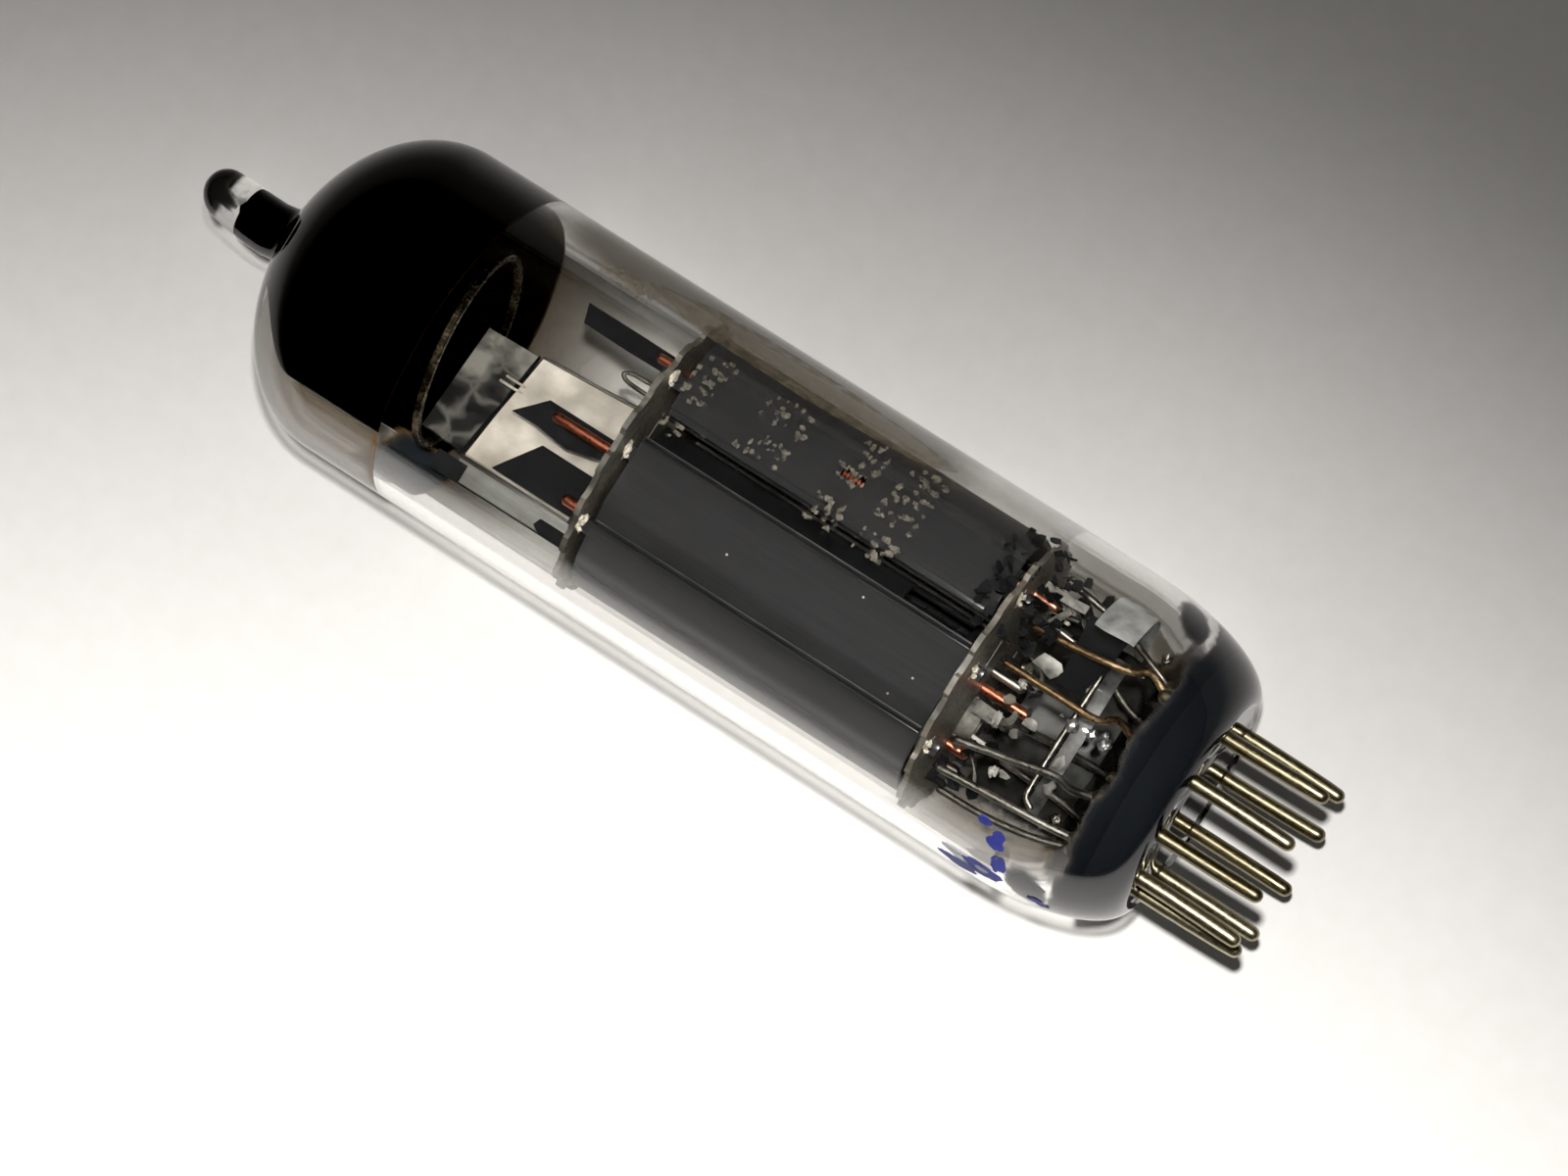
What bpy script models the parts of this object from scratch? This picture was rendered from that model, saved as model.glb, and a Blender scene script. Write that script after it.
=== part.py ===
"""A nine-pin miniature vacuum tube: a triode and a pentode side by side in one glass bulb.

The tube lies on its side. +X runs from the seating plane of the base to the exhaust tip, the pins
point to -X and +Z is up. The origin is the centre of the seating plane. Lengths are in millimetres
up to the moment they go into Blender, which works in metres.

The electrode cage (everything between and around the two mica discs) has a frame of its own, turned
about the tube's axis: in that frame +Y is the pentode side, -Y the triode side and +Z the front.
"""

import math

import bmesh
import bpy
from mathutils import Matrix, Vector

MM = 0.001
GAP = 0.3  # clearance that touching pieces keep

# Glass
BULB_RADIUS = 10.5
WALL = 0.8
BASE_CORNER = (9.2, 7.0)  # centre of the rounded lower edge: X, then radius
INNER_CORNER = (9.6, 6.4)
BUTTON_RADIUS = 7.4
BUTTON_THICKNESS = 2.4
BUTTON_FLAT_RADIUS = 4.6
PIN_LAND_X = 0.15
DOME_X = 57.2
DOME_HEIGHT = 7.9
DOME_THICKNESS = 0.9
NECK_RADIUS = 1.9  # where the dome runs into the exhaust tip
TIP_RADIUS = 1.72
TIP_BORE_RADIUS = 0.8
TIP_BORE_END_X = 69.0
SEATED_HEIGHT = 71.6
BULB_STEPS = 40

# Contact pins, standard nine-pin miniature base
PIN_COUNT = 9
PIN_PITCH = math.radians(36)
PIN_CIRCLE_RADIUS = 5.95
PIN_RADIUS = 0.5
PIN_LENGTH = 7.0
PIN_TOP_X = 3.9

# Electrode cage
CAGE_TURN = math.radians(6.5)
BOTTOM_MICA_X = 14.5
TOP_MICA_X = 39.05
MICA_RADIUS = 9.4
MICA_ROOT_RADIUS = 9.0
MICA_THICKNESS = 0.35
MICA_TEETH = 20
MICA_OUTER_FACES = (BOTTOM_MICA_X - MICA_THICKNESS / 2, TOP_MICA_X + MICA_THICKNESS / 2)
MICA_RODS = ((-1.6, -7.3), (6.2, -6.2))
MICA_ROD_RADIUS = 0.3
CATHODE_X = (13.3, 40.1)
ANODE_X = (15.1, 38.4)
TRIODE_ANODE_X = (15.3, 38.1)
SHEET = 0.3
THIN_SHEET = 0.25

# Pentode, and how far its rods stand from its cathode
PENTODE_Y = 2.7
PENTODE_RODS = {"grid_1": (1.95, 0.35), "grid_2": (3.1, 0.3), "grid_3": (4.15, 0.25)}
PENTODE_WINDING_DEPTH = {"grid_1": 1.1, "grid_2": 2.0, "grid_3": 3.3}
CATHODE_WALL = 0.12
PENTODE_CATHODE = (1.25, 0.6)  # half width and half depth of the oval sleeve
PENTODE_PANEL_Z = 6.4
PENTODE_RIBS_Y = (-0.85, 4.7)

# Triode
TRIODE_Y = -5.5
TRIODE_ROD_Z = 2.3
TRIODE_ROD_RADIUS = 0.3
TRIODE_CATHODE_RADIUS = 0.9
TRIODE_WINDING_WIDTH = 1.6

# Ears that anchor the anodes in the micas: Y and how far forward they stand
EAR_WIDTH = 0.9
EAR_REACH = 0.75
PENTODE_EARS = ((0.2, 6.4), (5.2, 5.55))
TRIODE_EARS = ((-4.7, 5.98),)

WINDING = 0.16  # thickness of the sleeves that stand for the fine grid windings
WINDING_X = (17.0, 36.5)

# Sheets bent round the axis under the bottom mica: ends of the arc and of the height
CURVED_SHEET_RADIUS = 8.1
SIDE_SHEET = ((45, -45), (7.1, 9.9))
REAR_SHEET = ((-52, -138), (5.6, 13.2))

# Getter
RING_X = 51.9
RING_Y = 0.23
RING_RADIUS = 6.2
RING_WIRE = 0.3
RING_TILT = math.radians(6)  # its triode side stands further from the base
MIRROR_START_X = 52.4
MIRROR_CLEAR_HALF_ANGLE = math.radians(42)


def clear_scene():
    for old in list(bpy.data.objects):
        bpy.data.objects.remove(old, do_unlink=True)


def material(name, colour, roughness, metallic=0.0, transmission=0.0, ior=1.5):
    made = bpy.data.materials.new(name)
    made.use_nodes = True
    shader = made.node_tree.nodes["Principled BSDF"]
    shader.inputs["Base Color"].default_value = (*colour, 1.0)
    shader.inputs["Roughness"].default_value = roughness
    shader.inputs["Metallic"].default_value = metallic
    shader.inputs["Transmission Weight"].default_value = transmission
    shader.inputs["IOR"].default_value = ior
    return made


def make_materials():
    return {
        "glass": material("clear_glass", (0.92, 0.93, 0.92), 0.02, transmission=1.0),
        "pin": material("tarnished_pin_metal", (0.36, 0.30, 0.17), 0.35, 1.0),
        "nickel": material("nickel", (0.55, 0.53, 0.49), 0.3, 1.0),
        "bright": material("bright_nickel_sheet", (0.72, 0.69, 0.64), 0.22, 1.0),
        "copper": material("copper_plated_rod", (0.55, 0.22, 0.13), 0.35, 1.0),
        "black": material("blackened_sheet", (0.035, 0.037, 0.04), 0.6),
        "anode": material("dark_grey_anode_sheet", (0.075, 0.075, 0.08), 0.5, 0.3),
        "mica": material("mica", (0.30, 0.26, 0.21), 0.35),
        "mirror": material("getter_mirror_film", (0.012, 0.011, 0.010), 0.12, 0.6),
        "cathode": material("oxide_coated_sleeve", (0.62, 0.60, 0.56), 0.8),
        "heater": material("white_coated_heater", (0.80, 0.78, 0.73), 0.85),
    }


def place(obj, parent=None):
    bpy.context.collection.objects.link(obj)
    obj.parent = parent
    return obj


def mesh_object(name, bm, finish, parent=None, smooth_angle=40):
    """Close, orient and store a bmesh whose coordinates are millimetres."""
    bmesh.ops.recalc_face_normals(bm, faces=bm.faces)
    bmesh.ops.scale(bm, vec=(MM, MM, MM), verts=bm.verts)
    mesh = bpy.data.meshes.new(name)
    bm.to_mesh(mesh)
    bm.free()
    mesh.materials.append(finish)
    mesh.shade_smooth()
    mesh.set_sharp_from_angle(angle=math.radians(smooth_angle))
    return place(bpy.data.objects.new(name, mesh), parent)


def arc(centre, radii, start, end, count):
    """Points (x, r) of an ellipse arc about a centre, angles from +X towards +r."""
    points = []
    for i in range(count + 1):
        angle = math.radians(start + (end - start) * i / count)
        x = centre[0] + radii[0] * math.cos(angle)
        r = centre[1] + radii[1] * math.sin(angle)
        points.append((x, r))
    return points


def turned(name, profile, finish, steps, closed=True, parent=None):
    """Turn an outline of (x, r) points about the X axis."""
    bm = bmesh.new()
    ring = [bm.verts.new((x, 0.0, r)) for x, r in profile]
    pairs = list(zip(ring, ring[1:]))
    if closed:
        pairs.append((ring[-1], ring[0]))
    edges = [bm.edges.new(pair) for pair in pairs]
    bmesh.ops.spin(
        bm,
        geom=ring + edges,
        cent=(0, 0, 0),
        axis=(1, 0, 0),
        angle=math.tau,
        steps=steps,
        use_merge=True,
    )
    bmesh.ops.remove_doubles(bm, verts=bm.verts, dist=0.001)
    return mesh_object(name, bm, finish, parent)


def loops_solid(loops, closed_ring=False):
    """A solid skin over cross-sections with equally many points, its two ends filled."""
    bm = bmesh.new()
    rows = [[bm.verts.new(point) for point in loop] for loop in loops]
    count = len(rows[0])
    for low, high in zip(rows, rows[1:]):
        for i in range(count):
            j = (i + 1) % count
            bm.faces.new((low[i], low[j], high[j], high[i]))
    if not closed_ring:
        bm.faces.new(rows[0])
        bm.faces.new(rows[-1])
    return bm


def prism(name, outline, x_range, finish, parent=None):
    """Extrude an outline of (y, z) points along X."""
    loops = [[(x, y, z) for y, z in outline] for x in x_range]
    return mesh_object(name, loops_solid(loops), finish, parent)


def inset_outline(outline, distance):
    """Move each side of a closed counter-clockwise outline inwards by a distance."""
    moved = []
    count = len(outline)
    for i in range(count):
        before = Vector(outline[i - 1])
        here = Vector(outline[i])
        after = Vector(outline[(i + 1) % count])
        side_in = (here - before).normalized()
        side_out = (after - here).normalized()
        normal_in = Vector((-side_in.y, side_in.x))
        normal_out = Vector((-side_out.y, side_out.x))
        middle = (normal_in + normal_out).normalized()
        moved.append(tuple(here + middle * (distance / middle.dot(normal_in))))
    return moved


def hollow_prism(name, outline, x_range, thickness, finish, parent=None):
    """A tube along X whose wall follows a closed outline of (y, z) points."""
    inner = inset_outline(outline, thickness)
    low, high = x_range
    ring = [
        [(low, *point) for point in outline],
        [(high, *point) for point in outline],
        [(high, *point) for point in inner],
        [(low, *point) for point in inner],
        [(low, *point) for point in outline],
    ]
    bm = loops_solid(ring, closed_ring=True)
    bmesh.ops.remove_doubles(bm, verts=bm.verts, dist=0.001)
    return mesh_object(name, bm, finish, parent)


def ellipse(centre, half_y, half_z, count):
    return [
        (
            centre[0] + half_y * math.cos(math.tau * i / count),
            centre[1] + half_z * math.sin(math.tau * i / count),
        )
        for i in range(count)
    ]


def rod_mesh(name, rods, parent, sides=8):
    """Round bars along X in one hidden helper mesh: each is (y, z, radius, low x, high x)."""
    bm = bmesh.new()
    for y, z, radius, low, high in rods:
        outline = ellipse((y, z), radius, radius, sides)
        rows = [[bm.verts.new((x, *point)) for point in outline] for x in (low, high)]
        for i in range(sides):
            j = (i + 1) % sides
            bm.faces.new((rows[0][i], rows[0][j], rows[1][j], rows[1][i]))
        bm.faces.new(rows[0])
        bm.faces.new(rows[1])
    return hide_helper(mesh_object(name, bm, FINISH["nickel"], parent))


def box_mesh(name, boxes, parent):
    """Boxes in one hidden helper mesh: each is (low corner, high corner)."""
    bm = bmesh.new()
    for low, high in boxes:
        centre = (Vector(low) + Vector(high)) / 2
        size = Vector(high) - Vector(low)
        shape = Matrix.Translation(centre) @ Matrix.Diagonal((*size, 1.0))
        bmesh.ops.create_cube(bm, size=1.0, matrix=shape)
    return hide_helper(mesh_object(name, bm, FINISH["nickel"], parent))


def hide_helper(obj):
    obj.hide_render = True
    obj.display_type = "WIRE"
    return obj


def boolean(obj, helper, operation):
    modifier = obj.modifiers.new(operation.lower() + "_" + helper.name, "BOOLEAN")
    modifier.operation = operation
    modifier.solver = "EXACT"
    modifier.object = helper


def smooth_route(points, steps_each):
    """A Catmull-Rom curve through route points, so that a wire bends without corners."""
    path = [Vector(point) for point in points]
    path = [path[0] * 2 - path[1]] + path + [path[-1] * 2 - path[-2]]
    made = []
    for a, b, c, d in zip(path, path[1:], path[2:], path[3:]):
        for step in range(steps_each):
            t = step / steps_each
            made.append(
                0.5
                * (
                    2 * b
                    + (c - a) * t
                    + (2 * a - 5 * b + 4 * c - d) * t**2
                    + (3 * b - a - 3 * c + d) * t**3
                )
            )
    made.append(path[-2])
    return made


def wire(name, points, radius, finish, parent=None, steps_each=3, resolution=1):
    curve = bpy.data.curves.new(name, "CURVE")
    curve.dimensions = "3D"
    curve.bevel_depth = radius * MM
    curve.bevel_resolution = resolution
    curve.use_fill_caps = True
    route = smooth_route(points, steps_each)
    spline = curve.splines.new("POLY")
    spline.points.add(len(route) - 1)
    for point, place_on_route in zip(spline.points, route):
        point.co = (*(place_on_route * MM), 1.0)
    curve.materials.append(finish)
    return place(bpy.data.objects.new(name, curve), parent)


def front(x, across, depth):
    """A cage point named as it is met from the front: across is to the triode side."""
    return (x, -across, depth)


def to_tube_frame(point):
    return Matrix.Rotation(CAGE_TURN, 3, "X") @ Vector(point)


def tip_outline():
    """Outer outline of the exhaust tip, from the dome up to the axis."""
    climb = math.sqrt(1 - (NECK_RADIUS / BULB_RADIUS) ** 2)
    neck = DOME_X + DOME_HEIGHT * climb
    return [
        (neck + 0.25, TIP_RADIUS - 0.05),
        (66.5, TIP_RADIUS + 0.03),
        (69.0, TIP_RADIUS - 0.02),
        *arc((69.9, 0.0), (SEATED_HEIGHT - 69.9, 1.55), 75, 0, 4),
    ]


def make_bulb():
    dome_end = math.degrees(math.acos(NECK_RADIUS / BULB_RADIUS))
    bore_end = math.degrees(math.acos(TIP_BORE_RADIUS / (BULB_RADIUS - WALL)))
    lip_radius = BUTTON_RADIUS + GAP
    lip = math.degrees(math.asin((lip_radius - BASE_CORNER[1]) / (BULB_RADIUS - BASE_CORNER[1])))
    corner_radii = (BASE_CORNER[0], BULB_RADIUS - BASE_CORNER[1])
    inner_rise = BULB_RADIUS - WALL - INNER_CORNER[1]
    inner_radii = (INNER_CORNER[0] - BUTTON_THICKNESS, inner_rise)
    inner_lip = math.degrees(math.asin((lip_radius - INNER_CORNER[1]) / inner_rise))
    outer = [
        *arc(BASE_CORNER, corner_radii, 180 - lip, 90, 7),
        *arc((DOME_X, 0), (DOME_HEIGHT, BULB_RADIUS), 90, 90 - dome_end, 8),
        *tip_outline(),
    ]
    inner = [
        (TIP_BORE_END_X, 0.0),
        (TIP_BORE_END_X - 0.4, TIP_BORE_RADIUS * 0.8),
        (TIP_BORE_END_X - 1.2, TIP_BORE_RADIUS),
        *arc(
            (DOME_X, 0),
            (DOME_HEIGHT - DOME_THICKNESS, BULB_RADIUS - WALL),
            90 - bore_end,
            90,
            8,
        ),
        *arc(INNER_CORNER, inner_radii, 90, 180 - inner_lip, 6),
    ]
    return turned("glass_bulb", outer + inner, FINISH["glass"], BULB_STEPS)


def make_stem_button():
    """The pressed base: a glass disc that the pins pass through, with a flat centre."""
    profile = [
        (0.0, 0.0),
        (0.0, BUTTON_FLAT_RADIUS),
        (PIN_LAND_X, BUTTON_FLAT_RADIUS + 0.3),
        (PIN_LAND_X, BUTTON_RADIUS),
        (BUTTON_THICKNESS, BUTTON_RADIUS),
        (BUTTON_THICKNESS, 0.0),
    ]
    button = turned("stem_button", profile, FINISH["glass"], BULB_STEPS, closed=False)
    holes = [
        (y, z, PIN_RADIUS + GAP, -1.0, BUTTON_THICKNESS + 1.0)
        for y, z in (pin_centre(number) for number in range(1, PIN_COUNT + 1))
    ]
    boolean(button, rod_mesh("pin_holes_helper", holes, None, sides=12), "DIFFERENCE")


def pin_centre(number):
    """Pins are counted clockwise seen from below, from the wide gap, which faces -Y."""
    angle = -PIN_PITCH * number
    return (-PIN_CIRCLE_RADIUS * math.cos(angle), PIN_CIRCLE_RADIUS * math.sin(angle))


def make_pins():
    profile = [
        (-PIN_LENGTH, 0.0),
        *arc((-PIN_LENGTH + 0.6, 0.0), (0.6, PIN_RADIUS), 165, 90, 3),
        (PIN_TOP_X, PIN_RADIUS),
        (PIN_TOP_X, 0.0),
    ]
    shared = None
    for number in range(1, PIN_COUNT + 1):
        name = f"pin_{number}"
        if shared is None:
            pin = turned(name, profile, FINISH["pin"], 12, closed=False)
            shared = pin.data
        else:
            pin = place(bpy.data.objects.new(name, shared))
        y, z = pin_centre(number)
        pin.location = (0.0, y * MM, z * MM)


def make_leads():
    """Inner leads, each from the top of its pin to its electrode under the bottom mica."""
    routes = {
        9: [front(5.5, 5.1, 3.7), front(6.7, 4.6, 3.3), front(9.0, 4.25, 3.1), front(13.2, 3.85, 2.9)],
        8: [front(5.4, 1.8, 5.1), front(6.7, 1.2, 4.5), front(9.0, 1.15, 4.3), front(13.3, 1.2, 4.1)],
        7: [front(5.7, -2.95, 4.9), front(7.0, -2.8, 4.5), front(10.0, -3.4, 4.2), front(13.3, -4.1, 4.0)],
        6: [front(6.3, -5.5, 2.7), front(9.5, -5.75, 2.5), front(13.6, -6.05, 2.4)],
        5: [front(7.0, -6.7, -1.0), front(10.5, -7.2, -1.3), front(13.5, -7.3, -1.4)],
        4: [front(6.5, -4.0, -3.3), front(9.0, -3.9, -2.4), front(11.2, -3.8, -1.6)],
        3: [front(6.5, -1.2, -4.8), front(9.0, -1.3, -3.2), front(11.2, -1.5, -1.6)],
        2: [front(6.5, 3.0, -4.8), front(9.5, 4.2, -3.9), front(13.4, 4.7, -3.4)],
        1: [front(6.5, 5.9, -2.5), front(9.5, 6.8, -1.6), front(13.5, 7.4, -0.8)],
    }
    for number, route in routes.items():
        y, z = pin_centre(number)
        points = [(PIN_TOP_X + GAP, y, z)] + [to_tube_frame(point) for point in route]
        wire(f"lead_{number}", points, 0.25, FINISH["nickel"])


def ear_boxes(ears, mica_side, clearance=0.0):
    """Boxes of the small ears that an anode pushes through both micas, front and back."""
    boxes = []
    low, high = mica_side
    for y, front_z in ears:
        for side in (1, -1):
            z_near = side * (front_z - 0.27) - side * clearance
            z_far = side * (front_z - 0.03) + side * clearance
            z_low, z_high = sorted((z_near, z_far))
            half = EAR_WIDTH / 2 + clearance
            boxes.append(((low, y - half, z_low), (high, y + half, z_high)))
    return boxes


def ears_for(ears, anode_range):
    """The ears of one anode: short bars past the outer faces of both micas."""
    bottom = (MICA_OUTER_FACES[0] - EAR_REACH, anode_range[0] + 0.4)
    top = (anode_range[1] - 0.4, MICA_OUTER_FACES[1] + EAR_REACH)
    return ear_boxes(ears, bottom) + ear_boxes(ears, top)


def make_pentode_anode(cage):
    """A closed sheet box: flat panels front and back, a rounded wing, a stepped inner side."""
    wing = (4.85, 0.0)
    front_half = [
        (-2.3, 3.0),
        (-1.0, 4.3),
        (-1.0, PENTODE_PANEL_Z),
        (3.4, PENTODE_PANEL_Z),
        (4.5, 5.75),
        *arc(wing, (3.8, 5.65), 90, 12, 6),
    ]
    back_half = [(y, -z) for y, z in reversed(front_half)]
    outline = list(reversed(front_half + back_half))
    anode = hollow_prism("pentode_anode", outline, ANODE_X, SHEET, FINISH["anode"], cage)
    ribs = []
    for y in PENTODE_RIBS_Y:
        for side in (1, -1):
            z_low, z_high = sorted((side * 5.5, side * (PENTODE_PANEL_Z + 0.25)))
            ribs.append(((ANODE_X[0] + 0.1, y - 0.12, z_low), (ANODE_X[1] - 0.1, y + 0.12, z_high)))
    boolean(anode, box_mesh("pentode_ribs_helper", ribs, cage), "UNION")
    ears = ears_for(PENTODE_EARS, ANODE_X)
    boolean(anode, box_mesh("pentode_ears_helper", ears, cage), "UNION")
    window = [((16.1, -2.15, 2.2), (20.6, -1.15, 5.0))]
    boolean(anode, box_mesh("pentode_window_helper", window, cage), "DIFFERENCE")


def make_triode_anode(cage):
    """A smaller sheet box with sloping cheeks, and one inspection slot in its front."""
    front_half = [(-8.45, 3.3), (-7.1, 5.7), (-3.15, 6.15)]
    back_half = [(y, -z) for y, z in reversed(front_half)]
    outline = list(reversed(front_half + back_half))
    anode = hollow_prism("triode_anode", outline, TRIODE_ANODE_X, SHEET, FINISH["anode"], cage)
    low, high = TRIODE_ANODE_X
    flanges = [
        ((low + 0.1, -3.3, side_low), (high - 0.1, -2.6, side_high))
        for side_low, side_high in ((5.85, 6.08), (-6.08, -5.85))
    ]
    boolean(anode, box_mesh("triode_flanges_helper", flanges, cage), "UNION")
    ears = ears_for(TRIODE_EARS, TRIODE_ANODE_X)
    boolean(anode, box_mesh("triode_ears_helper", ears, cage), "UNION")
    slot = [((25.85, TRIODE_Y - 0.3, 5.0), (27.35, TRIODE_Y + 0.3, 7.0))]
    boolean(anode, box_mesh("triode_slot_helper", slot, cage), "DIFFERENCE")


def mica_outline():
    """A round disc whose rim has short blunt teeth that grip the glass."""
    outline = []
    pitch = math.tau / MICA_TEETH
    for tooth in range(MICA_TEETH):
        for share, radius in (
            (0.0, MICA_ROOT_RADIUS),
            (0.22, MICA_RADIUS),
            (0.62, MICA_RADIUS),
            (0.84, MICA_ROOT_RADIUS),
        ):
            angle = pitch * (tooth + share)
            outline.append((radius * math.cos(angle), radius * math.sin(angle)))
    return outline


def make_micas(cage):
    clearance = 0.15
    low = BOTTOM_MICA_X - 1.0
    high = TOP_MICA_X + 1.0
    rods = [
        (PENTODE_Y + side * offset, 0.0, radius + clearance, low, high)
        for offset, radius in PENTODE_RODS.values()
        for side in (1, -1)
    ]
    rods += [
        (TRIODE_Y, side * TRIODE_ROD_Z, TRIODE_ROD_RADIUS + clearance, low, high)
        for side in (1, -1)
    ]
    rods.append((TRIODE_Y, 0.0, TRIODE_CATHODE_RADIUS + clearance, low, high))
    rods += [(y, z, MICA_ROD_RADIUS + clearance, low, high) for y, z in MICA_RODS]
    round_holes = rod_mesh("mica_holes_helper", rods, cage)
    slots = []
    for ears in (PENTODE_EARS, TRIODE_EARS):
        slots += ear_boxes(ears, (low, high), clearance=0.2)
    width, depth = PENTODE_CATHODE
    width += clearance
    depth += clearance
    slots.append(((low, PENTODE_Y - width, -depth), (high, PENTODE_Y + width, depth)))
    square_holes = box_mesh("mica_slots_helper", slots, cage)
    for name, x in (("bottom_mica", BOTTOM_MICA_X), ("top_mica", TOP_MICA_X)):
        faces = (x - MICA_THICKNESS / 2, x + MICA_THICKNESS / 2)
        mica = prism(name, mica_outline(), faces, FINISH["mica"], cage)
        boolean(mica, round_holes, "DIFFERENCE")
        boolean(mica, square_holes, "DIFFERENCE")


def make_mica_rods(cage):
    for number, (y, z) in enumerate(MICA_RODS, 1):
        points = [(13.4, y, z), (27.0, y, z), (41.0, y, z)]
        wire(f"mica_rod_{number}", points, MICA_ROD_RADIUS, FINISH["nickel"], cage, 1, 2)


def make_grid(name, centre, offset, rod_radius, along_y, winding, spans, finish, cage):
    """Two side rods joined by the sleeve of the winding; spans are each rod's X range."""
    half_y, half_z = winding
    outline = ellipse(centre, half_y, half_z, 20)
    grid = hollow_prism(name, outline, WINDING_X, WINDING, finish, cage)
    rods = []
    for side, (low, high) in zip((1, -1), spans):
        y = centre[0] + (side * offset if along_y else 0.0)
        z = centre[1] + (0.0 if along_y else side * offset)
        rods.append((y, z, rod_radius, low, high))
    boolean(grid, rod_mesh(name + "_rods_helper", rods, cage), "UNION")


def make_grids(cage):
    spans = {
        "grid_1": ((13.2, 41.8), (11.3, 45.0)),
        "grid_2": ((13.0, 40.6), (12.4, 40.8)),
        "grid_3": ((13.3, 41.0), (13.3, 40.4)),
    }
    for grid, (offset, radius) in PENTODE_RODS.items():
        winding = (offset + WINDING / 2, PENTODE_WINDING_DEPTH[grid])
        finish = FINISH["copper" if grid == "grid_1" else "nickel"]
        make_grid(
            "pentode_" + grid,
            (PENTODE_Y, 0.0),
            offset,
            radius,
            True,
            winding,
            spans[grid],
            finish,
            cage,
        )
    make_grid(
        "triode_grid",
        (TRIODE_Y, 0.0),
        TRIODE_ROD_Z,
        TRIODE_ROD_RADIUS,
        False,
        (TRIODE_WINDING_WIDTH, TRIODE_ROD_Z + WINDING / 2),
        ((12.9, 41.0), (13.2, 40.4)),
        FINISH["copper"],
        cage,
    )


def make_cathodes(cage):
    pentode = ellipse((PENTODE_Y, 0.0), *PENTODE_CATHODE, 16)
    hollow_prism("pentode_cathode", pentode, CATHODE_X, CATHODE_WALL, FINISH["cathode"], cage)
    triode = ellipse((TRIODE_Y, 0.0), TRIODE_CATHODE_RADIUS, TRIODE_CATHODE_RADIUS, 14)
    hollow_prism("triode_cathode", triode, CATHODE_X, CATHODE_WALL, FINISH["cathode"], cage)


def make_heaters(cage):
    """Each heater is one coated wire folded to and fro inside its sleeve, with two legs."""
    low, leg, high = (15.5, 12.0, 38.6)
    folds = [-0.75, -0.25, 0.25, 0.75]
    points = [(leg, PENTODE_Y + folds[0] - 0.1, 0.0)]
    for number, offset in enumerate(folds):
        ends = (low, high) if number % 2 == 0 else (high, low)
        points += [(x, PENTODE_Y + offset, 0.0) for x in ends]
    points.append((leg, PENTODE_Y + folds[-1] + 0.1, 0.0))
    wire("pentode_heater", points, 0.15, FINISH["heater"], cage, 2)
    points = [
        (leg, TRIODE_Y - 0.35, 0.0),
        (low, TRIODE_Y - 0.3, 0.0),
        (high - 0.6, TRIODE_Y - 0.3, 0.0),
        (high, TRIODE_Y, 0.0),
        (high - 0.6, TRIODE_Y + 0.3, 0.0),
        (low, TRIODE_Y + 0.3, 0.0),
        (leg, TRIODE_Y + 0.35, 0.0),
    ]
    wire("triode_heater", points, 0.15, FINISH["heater"], cage, 2)


def flat_plate(name, corners, thickness, finish, cage):
    """A plate with four or more corners in one plane, thickened to one side of it."""
    points = [Vector(corner) for corner in corners]
    normal = (points[1] - points[0]).cross(points[2] - points[1]).normalized() * thickness
    loops = [points, [point + normal for point in points]]
    return mesh_object(name, loops_solid(loops), finish, cage)


def make_upper_parts(cage):
    """The sheets above the top mica: cooling fins, the upright shield and the getter's strap."""
    foot = MICA_OUTER_FACES[1] + GAP
    fins = {
        "cooling_fin_1": (-5.45, -2.65, 47.0, 45.05, -0.9),
        "cooling_fin_2": (-1.9, -0.1, 47.85, 46.15, -0.9),
        "cooling_fin_3": (4.85, 6.05, 46.4, 46.8, 1.4),
        "cooling_fin_4": (-7.2, -6.4, 42.3, 42.3, 0.95),
    }
    for name, (left, right, left_top, right_top, depth) in fins.items():
        foot_x = foot if depth > 0.9 else MICA_OUTER_FACES[1] + EAR_REACH + GAP
        corners = [
            front(foot_x, left, depth),
            front(foot_x, right, depth),
            front(right_top, right, depth),
            front(left_top, left, depth),
        ]
        flat_plate(name, corners, THIN_SHEET, FINISH["black"], cage)
    make_shield_plates(foot, cage)
    corners = [
        front(foot, -7.2, 0.55),
        front(foot, -5.95, 0.55),
        front(49.9, -5.95, 0.55),
        front(49.9, -7.2, 0.55),
    ]
    flat_plate("getter_strap", corners, THIN_SHEET, FINISH["nickel"], cage)
    loop = [
        front(foot, 3.2, 1.6),
        front(41.6, 3.2, 1.6),
        front(42.7, 3.55, 1.6),
        front(41.6, 3.9, 1.6),
        front(foot, 3.9, 1.6),
    ]
    wire("top_wire_loop", loop, 0.15, FINISH["nickel"], cage)


def make_shield_plates(foot, cage):
    """The upright shield stands skewed behind the fins; the getter's shield leans above it."""
    near, far = Vector(front(0.0, -5.7, -1.6)), Vector(front(0.0, 1.7, -5.4))
    along = far - near
    lean = Vector((1.0, -0.05, 0.1))
    bend_x, gap = 49.0, Vector((GAP, 0.0, 0.0))
    up = Vector((1.0, 0.0, 0.0))
    foot_far = along * 1.08
    corners = [
        near + up * (foot + 0.9),
        near + foot_far + up * (foot + 0.9),
        far + up * bend_x,
        near + up * bend_x,
    ]
    flat_plate("upper_shield", corners, THIN_SHEET, FINISH["bright"], cage)
    base = near + up * bend_x + gap
    corners = [base, base + along, base + along * 0.96 + lean * 3.5, base + lean * 2.9]
    flat_plate("getter_shield", corners, THIN_SHEET, FINISH["bright"], cage)


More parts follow.
